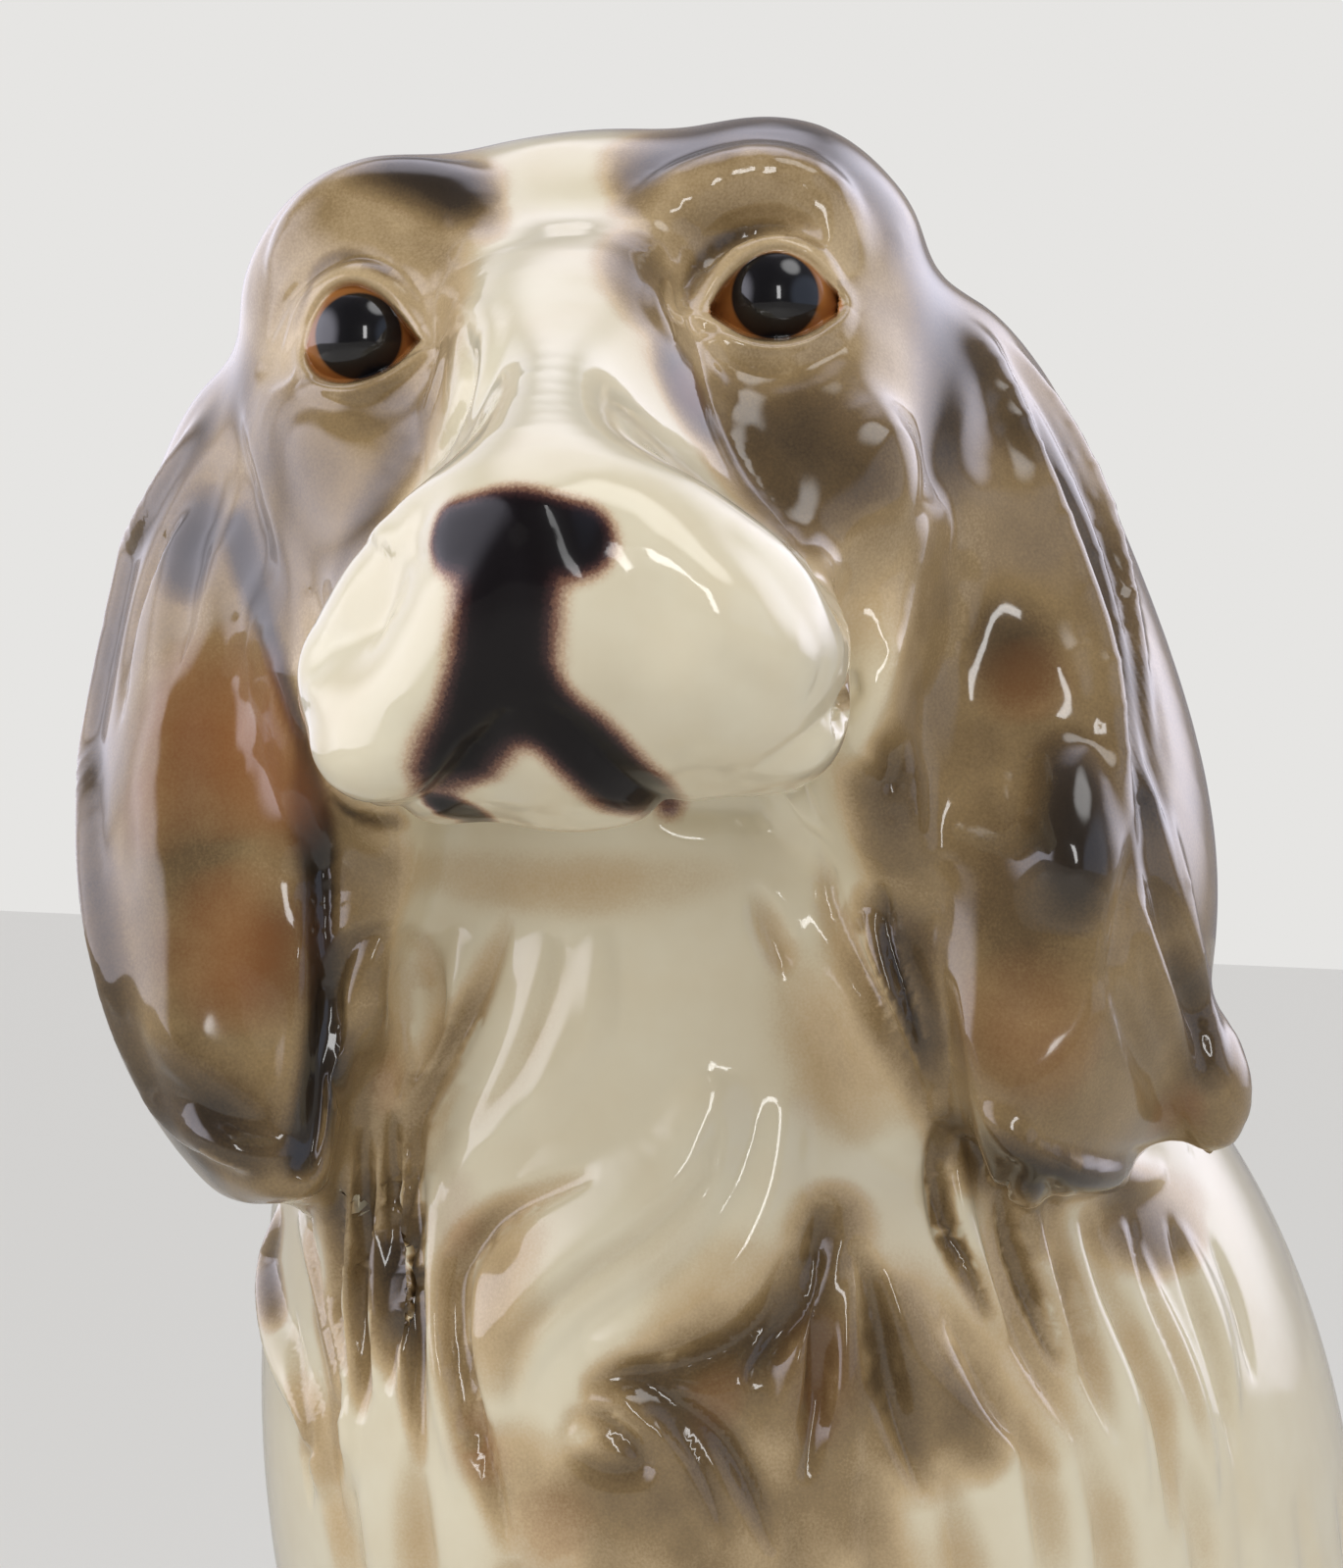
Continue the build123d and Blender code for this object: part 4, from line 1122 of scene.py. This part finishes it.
def glazed_earthenware(eyes):
    """Cream earthenware, airbrushed in umber, rust and black under one clear glaze."""
    # The fired glaze is a hard, clear coat with sharp, bright reflections. Under it the clay's matt colour
    # shows soft sprayed edges with a fine grain, and the black of the nose has less shine.
    material = bpy.data.materials.new("glazed_earthenware")
    material.use_nodes = True
    tree = material.node_tree
    shader = tree.nodes["Principled BSDF"]
    add = partial(node, tree)
    place = add(COORDINATES, output="Object")
    grain = add(NOISE, {"Vector": place, "Scale": 1 / (SPATTER * MM), "Detail": 2.0})
    cloud = add(NOISE, {"Vector": place, "Scale": 1 / (CLOUDS * MM), "Detail": 3.0})
    speckle = add(MATH, {0: grain, 1: 0.5}, operation="SUBTRACT")
    drift = add(MATH, {0: cloud, 1: 0.5}, operation="SUBTRACT")

    def sprayed(name, grit, clouds):
        """A layer with the airbrush's grain where it is thin."""
        cover = add(ATTRIBUTE, output="Fac", attribute_name=name)
        bare = add(MATH, {0: 1.0, 1: cover}, operation="SUBTRACT")
        half = add(MATH, {0: cover, 1: bare}, operation="MULTIPLY")
        thin = add(MATH, {0: half, 1: 4.0}, operation="MULTIPLY")
        fine = add(MATH, {0: speckle, 1: grit}, operation="MULTIPLY")
        broad = add(MATH, {0: drift, 1: clouds}, operation="MULTIPLY")
        rough = add(MATH, {0: fine, 1: broad}, operation="ADD")
        uneven = add(MATH, {0: rough, 1: thin}, operation="MULTIPLY")
        return add(MATH, {0: cover, 1: uneven}, operation="ADD", use_clamp=True)

    umber = sprayed("umber", 0.18, 0.35)
    rust = sprayed("rust", 0.25, 0.5)
    black = sprayed("black", 0.3, 0.1)
    opened = add(ATTRIBUTE, output="Fac", attribute_name="eye")
    # how much of each colour lies over what is below it
    colour = add(RAMP, {0: cloud}, stops=CREAM)
    layers = [
        (add(RAMP, {0: umber}, stops=UMBER_EDGE), add(RAMP, {0: umber}, stops=UMBER)),
        (add(MATH, {0: rust, 1: RUST_STRENGTH}, operation="MULTIPLY"), RUST),
        (add(RAMP, {0: black}, stops=BLACK_EDGE), add(RAMP, {0: black}, stops=BLACK)),
    ]
    for middle in eyes:
        spot = off_axis(add, place, Vector(middle) * MM, VIEW_BACK)
        outwards = add(MATH, {0: spot, 1: 1 / (IRIS_REACH * MM)}, operation="MULTIPLY")
        close = add(MATH, {0: spot, 1: IRIS_LIMIT * MM}, operation="LESS_THAN")
        inside = add(MATH, {0: opened, 1: close}, operation="MULTIPLY")
        layers.append((inside, add(RAMP, {0: outwards}, stops=IRIS)))
        start, end = ((PUPIL_RADIUS + blend) * MM for blend in PUPIL_BLEND)
        edge = add(RANGE, {"Value": spot, "From Min": start, "From Max": end,
                           "To Min": 1.0, "To Max": 0.0})
        layers.append((add(MATH, {0: edge, 1: opened}, operation="MULTIPLY"), PUPIL))
    for share, above in layers:
        colour = add(MIX, {0: share, MIX_A: colour, MIX_B: above}, MIX_COLOUR, data_type="RGBA")
    tree.links.new(colour, shader.inputs["Base Color"])
    dulled = add(MATH, {0: black, 1: 0.7}, operation="MULTIPLY")
    tree.links.new(add(MATH, {0: 1.0, 1: dulled}, operation="SUBTRACT"), shader.inputs["Coat Weight"])
    # the clay's colour is matt and hardly shines by itself; the glaze's refractive index is glass's
    shader.inputs["Roughness"].default_value = 0.4
    shader.inputs["IOR"].default_value = 1.45
    shader.inputs["Specular IOR Level"].default_value = 0.12
    shader.inputs["Coat Roughness"].default_value = 0.075
    shader.inputs["Coat IOR"].default_value = 1.5
    return material


# ---------------------------------------------------------------- studio

FLOOR_SIZE = 3
PAPER, LIT_PAPER = "#dcdad6", "#e6e5e3"
PAPER_GLOW = 0.65       # how far the paper is lit evenly, as the viewer sees it
FILL = "#b4b3b2"
ROOM = ((0, "#8e8d94"), (0.45, "#84838c"), (0.72, "#48484f"), (1, "#38383f"))
GLOWS = (
    # (right, up, towards the viewer), cosines at the outer and inner edge, strength, colour
    ((-0.94, 0.12, 0.22), 0.74, 0.94, 4.2, "#dedcea"),
    ((-0.62, 0.20, -0.75), 0.78, 0.96, 1.5, "#dedcea"),
    ((0.74, 0.42, -0.52), 0.83, 0.97, 3.4, "#dedded"),
    ((0.86, 0.10, 0.50), 0.80, 0.93, 1.2, "#a9b8d2"),
    ((0.0, 0.92, -0.30), 0.84, 0.97, 2.4, "#e2e0f0"),
    ((0.40, 0.80, 0.40), 0.955, 0.99, 4.0, "#ffffff"),
    ((-0.30, -0.80, 0.40), 0.85, 0.98, 0.7, "#dcd8e6"),
)
LAMPS = (
    # name, (right, up, towards the viewer) from the head, (width, height), watts,
    # whether the glaze mirrors it
    ("key", (-0.2, 0.75, 0.75), (0.5, 0.35), 3.6, False),
    ("left_softbox", (-0.9, 0.15, 0.2), (0.35, 0.9), 2.4, False),
    ("right_softbox", (0.85, 0.2, 0.1), (0.3, 0.8), 1.8, False),
    ("window", (0.16, 0.2, 1.1), (0.12, 0.45), 1.8, True),
)


def towards(right, up, back):
    """A direction in the viewer's axes, as one in the world's."""
    return VIEW_RIGHT * right + VIEW_UP * up + VIEW_BACK * back


def add_floor():
    """A sheet of matt paper, paler to the viewer than the room's light leaves it."""
    work = bmesh.new()
    bmesh.ops.create_grid(work, x_segments=1, y_segments=1, size=FLOOR_SIZE)
    mesh = bpy.data.meshes.new("floor")
    work.to_mesh(mesh)
    work.free()
    floor = add_object("floor", mesh)
    paper = bpy.data.materials.new("matt_backdrop_paper")
    paper.use_nodes = True
    tree = paper.node_tree
    matt = tree.nodes["Principled BSDF"]
    matt.inputs["Base Color"].default_value = hex_colour(PAPER)
    matt.inputs["Roughness"].default_value = 0.9
    add = partial(node, tree)
    lit = add("ShaderNodeEmission", {"Color": LIT_PAPER, "Strength": 1.0})
    share = add(MATH, {0: add(RAY, output="Is Camera Ray"), 1: PAPER_GLOW}, operation="MULTIPLY")
    both = add("ShaderNodeMixShader", {0: share, 1: matt.outputs[0], 2: lit})
    tree.links.new(both, tree.nodes["Material Output"].inputs["Surface"])
    mesh.materials.append(paper)


def add_world():
    """Even light, a pale backdrop for the viewer, and soft glows in a dark room for the glaze."""
    world = bpy.data.worlds.new("studio")
    bpy.context.scene.world = world
    world.use_nodes = True
    tree = world.node_tree
    add = partial(node, tree)
    direction = add(COORDINATES, output="Generated")
    backwards = add(VECTORS, {0: direction, 1: tuple(VIEW_BACK)}, "Value", operation="DOT_PRODUCT")
    halved = add(MATH, {0: backwards, 1: 0.5}, operation="MULTIPLY")
    room = add(RAMP, {0: add(MATH, {0: halved, 1: 0.5}, operation="ADD")}, stops=ROOM)
    for way, outer, inner, strength, colour in GLOWS:
        axis = tuple(towards(*way).normalized())
        cosine = add(VECTORS, {0: direction, 1: axis}, "Value", operation="DOT_PRODUCT")
        share = add(RANGE, {"Value": cosine, "From Min": outer, "From Max": inner},
                    interpolation_type="SMOOTHSTEP")
        bright = add(MATH, {0: share, 1: strength}, operation="MULTIPLY")
        shine = add(VECTORS, {0: hex_colour(colour)[:3], "Scale": bright}, operation="SCALE")
        room = add(VECTORS, {0: room, 1: shine}, operation="ADD")
    glossy = add(RAY, output="Is Glossy Ray")
    fill = add(MIX, {0: glossy, MIX_A: FILL, MIX_B: room}, MIX_COLOUR, data_type="RGBA")
    rays = {0: add(RAY, output="Is Camera Ray"), 1: add(RAY, output="Is Transmission Ray")}
    seen = add(MATH, rays, operation="ADD", use_clamp=True)
    backdrop = add(MIX, {0: seen, MIX_A: fill, MIX_B: LIT_PAPER}, MIX_COLOUR, data_type="RGBA")
    tree.links.new(backdrop, tree.nodes["Background"].inputs["Color"])


def add_lamps():
    """Soft lamps aimed at the head."""
    for name, place, size, watts, shines in LAMPS:
        lamp = bpy.data.lights.new(name, "AREA")
        lamp.shape = "RECTANGLE"
        lamp.size, lamp.size_y = size
        lamp.energy = watts
        made = add_object(name, lamp)
        offset = towards(*place)
        turn = offset.to_track_quat("Z", "Y").to_matrix().to_4x4()
        made.matrix_world = Matrix.Translation(EYES * MM + offset) @ turn
        made.visible_glossy = shines


def add_studio():
    """Floor, surroundings and lamps."""
    add_floor()
    add_world()
    add_lamps()
    bpy.context.scene.view_settings.view_transform = "Standard"


# ---------------------------------------------------------------- pieces

def nearest_nodes(skin):
    """For each point, the number of the casting that it belongs to, with the joins evened out."""
    work = bmesh.new()
    owners = []
    for index, name in enumerate(NODES):
        before = len(work.faces)
        work.from_mesh(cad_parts[name].data)
        owners += [index] * (len(work.faces) - before)
    tree = BVHTree.FromBMesh(work)
    work.free()
    found = np.array([owners[tree.find_nearest(Vector(p) * MM)[2]] for p in skin.points])
    share = np.eye(len(NODES))[found]
    for _ in range(25):
        share = 0.5 * share + 0.5 * skin.averages(share)
    return share.argmax(axis=1)


CAP_STEPS = (0.04, 0.1, 0.2, 0.35, 0.6)         # shares of the way from a cut edge to the middle
CAP_DEPTH = 1.5
HEAD_MIDDLE = Vector((0, 18, -12))              # in the head's axes


def open_rings(work):
    """The open edges, as one list for each hole."""
    loose = {e for e in work.edges if e.is_boundary}
    rings = []
    while loose:
        ring, queue = [], [loose.pop()]
        while queue:
            edge = queue.pop()
            ring.append(edge)
            for corner in edge.verts:
                for other in corner.link_edges:
                    if other in loose:
                        loose.discard(other)
                        queue.append(other)
        rings.append(ring)
    return rings


def close_holes(work, tree, casting, inside_head):
    """Fills each open edge with a cap that dips under the skin, then runs to the middle of the casting."""
    facing = work.verts.layers.float_vector["facing"]

    def under(place):
        nearest, outward, _, _ = tree.find_nearest(place)
        height = (place - nearest).dot(outward)
        return place if height < -CAP_DEPTH * MM else nearest - outward * CAP_DEPTH * MM

    for ring in open_rings(work):
        corners = list({v for e in ring for v in e.verts})
        height = sum(v.co.z for v in corners) / len(corners)
        level = casting[np.argsort(np.abs(casting[:, 2] - height))[:max(60, len(casting) // 12)]]
        middle = HEAD @ HEAD_MIDDLE * MM if inside_head else Vector((level.min(0) + level.max(0)) / 2)
        hub = work.verts.new(middle)
        inner = {}
        for v in corners:
            dipped = v.co - v[facing] * CAP_DEPTH * MM
            deeper = [work.verts.new(under(dipped.lerp(middle, k))) for k in CAP_STEPS]
            inner[v] = [v, work.verts.new(dipped)] + deeper
        for edge in ring:
            a, b = edge.verts
            if edge.link_loops[0].vert == a:
                a, b = b, a
            for k in range(len(CAP_STEPS) + 1):
                work.faces.new((inner[a][k], inner[b][k], inner[b][k + 1], inner[a][k + 1]))
            work.faces.new((inner[a][-1], inner[b][-1], hub))


def cut_pieces(skin, owners, material):
    """One closed piece for each casting, with the whole skin's normals along its edges."""
    mesh = skin.mesh
    for name, values in skin.colours.items():
        mesh.attributes.new(name, "FLOAT", "POINT").data.foreach_set("value", values.astype(np.float32))
    stored = mesh.attributes.new("facing", "FLOAT_VECTOR", "POINT")
    stored.data.foreach_set("vector", skin.normals.astype(np.float32).ravel())
    firsts = np.empty(len(mesh.polygons), np.int32)
    mesh.polygons.foreach_get("loop_start", firsts)
    corners = np.empty(len(mesh.loops), np.int32)
    mesh.loops.foreach_get("vertex_index", corners)
    mesh.polygons.foreach_set("material_index", owners[corners[firsts]].astype(np.int32))
    whole = bmesh.new()
    whole.from_mesh(mesh)
    made = {}
    for index, name in enumerate(NODES):
        work = whole.copy()
        bmesh.ops.delete(work, geom=[f for f in work.faces if f.material_index != index], context="FACES")
        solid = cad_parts[name].data
        places = np.empty(len(solid.vertices) * 3, np.float32)
        solid.vertices.foreach_get("co", places)
        close_holes(work, skin.tree, places.reshape(-1, 3), name == "head_casting")
        for face in work.faces:
            face.material_index = 0
            face.smooth = True
        bmesh.ops.triangulate(work, faces=[f for f in work.faces if len(f.verts) > 4])
        piece_mesh = bpy.data.meshes.new(name.replace("_casting", ""))
        work.to_mesh(piece_mesh)
        work.free()
        normals = np.empty(len(piece_mesh.vertices) * 3, np.float32)
        stored = piece_mesh.attributes["facing"]
        stored.data.foreach_get("vector", normals)
        piece_mesh.attributes.remove(stored)
        piece_mesh.normals_split_custom_set_from_vertices(normals.reshape(-1, 3))
        piece_mesh.materials.append(material)
        piece = add_object(piece_mesh.name, piece_mesh)
        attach(piece, "root")
        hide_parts(name)
        made[name] = piece
    whole.free()
    return made


# ---------------------------------------------------------------- the dog

CROWN, CROWN_RADIUS = (0, 15, 5), 30            # in the head's axes
# the neck's back, from no softening to full: backwards, upwards, down from its top, in from its sides
NECK_BACK, NECK_RISE, NECK_TOP, NECK_SIDE = (-34, -14), (240, 258), (-300, -282), (-38, -26)
NECK_MIDDLE = -6
HEAD_ZONE, HEAD_ZONE_RADIUS, HEAD_ZONE_FLOOR = (0, 0, -12), 62, 255
CHEST_FLOOR = 188
MOUTH, MOUTH_HALF = (-1, -47), (22, 7)
MOUTH_CORNER, MOUTH_CORNER_RADIUS = (29, -41), 9
EYE_ZONE, PUPIL_ZONE = 17, 8


def soften_crown_and_nape(skin):
    """Evens out the crown, and the back of the neck where head and torso meet."""
    crown = np.linalg.norm(local_to_head(skin.points) - CROWN, axis=1) / CROWN_RADIUS
    skin.soften(np.clip(1.5 - crown, 0, 1), 25)
    x, y, z = skin.points.T
    nape = ease(y, *NECK_BACK) * ease(z, *NECK_RISE) * ease(-z, *NECK_TOP)
    skin.soften(nape * ease(-abs(x - NECK_MIDDLE), *NECK_SIDE), 90)
    skin.refresh()


def head_and_chest_area(skin):
    """The head, and what faces the viewer down to the chest."""
    head = np.linalg.norm(local_to_head(skin.points) - HEAD_ZONE, axis=1) < HEAD_ZONE_RADIUS
    head &= skin.points[:, 2] > HEAD_ZONE_FLOOR
    return head | (skin.normals @ np.array(VIEW_BACK) > 0) & (skin.points[:, 2] > CHEST_FLOOR)


def eye_area(skin, radius):
    """The points within a radius of either pupil."""
    found = np.zeros(len(skin.points), bool)
    for pupil, _ in EYE_OPENINGS:
        found |= skin.near(skin.seen(*pupil)[0], radius) > 0
    return found


def mouth_area(skin):
    """The lips and the corner of the mouth."""
    across, up = on_sheet(skin.points)
    lips = (np.abs(across - MOUTH[0]) < MOUTH_HALF[0]) & (np.abs(up - MOUTH[1]) < MOUTH_HALF[1])
    lips |= np.hypot(across - MOUTH_CORNER[0], up - MOUTH_CORNER[1]) < MOUTH_CORNER_RADIUS
    return lips & (skin.normals @ np.array(VIEW_BACK) > -0.2) & (local_to_head(skin.points)[:, 1] < -5)


def model_dog():
    """The whole skin, modelled and sprayed, with each point's casting and the eyeballs' middles."""
    skin = Skin(joined_castings())
    soften_crown_and_nape(skin)
    skin.refine(head_and_chest_area(skin))
    model_planes(skin)
    skin.refine(eye_area(skin, EYE_ZONE) | mouth_area(skin))
    skin.refine(eye_area(skin, PUPIL_ZONE))
    owners = nearest_nodes(skin)
    model_face(skin)
    balls = model_eyes(skin)
    model_ears(skin, owners)
    model_chest(skin)
    model_coat(skin)
    airbrush(skin, owners)
    return skin, owners, balls


add_camera()
skin, owners, balls = model_dog()
pieces = cut_pieces(skin, owners, glazed_earthenware(balls))
add_studio()
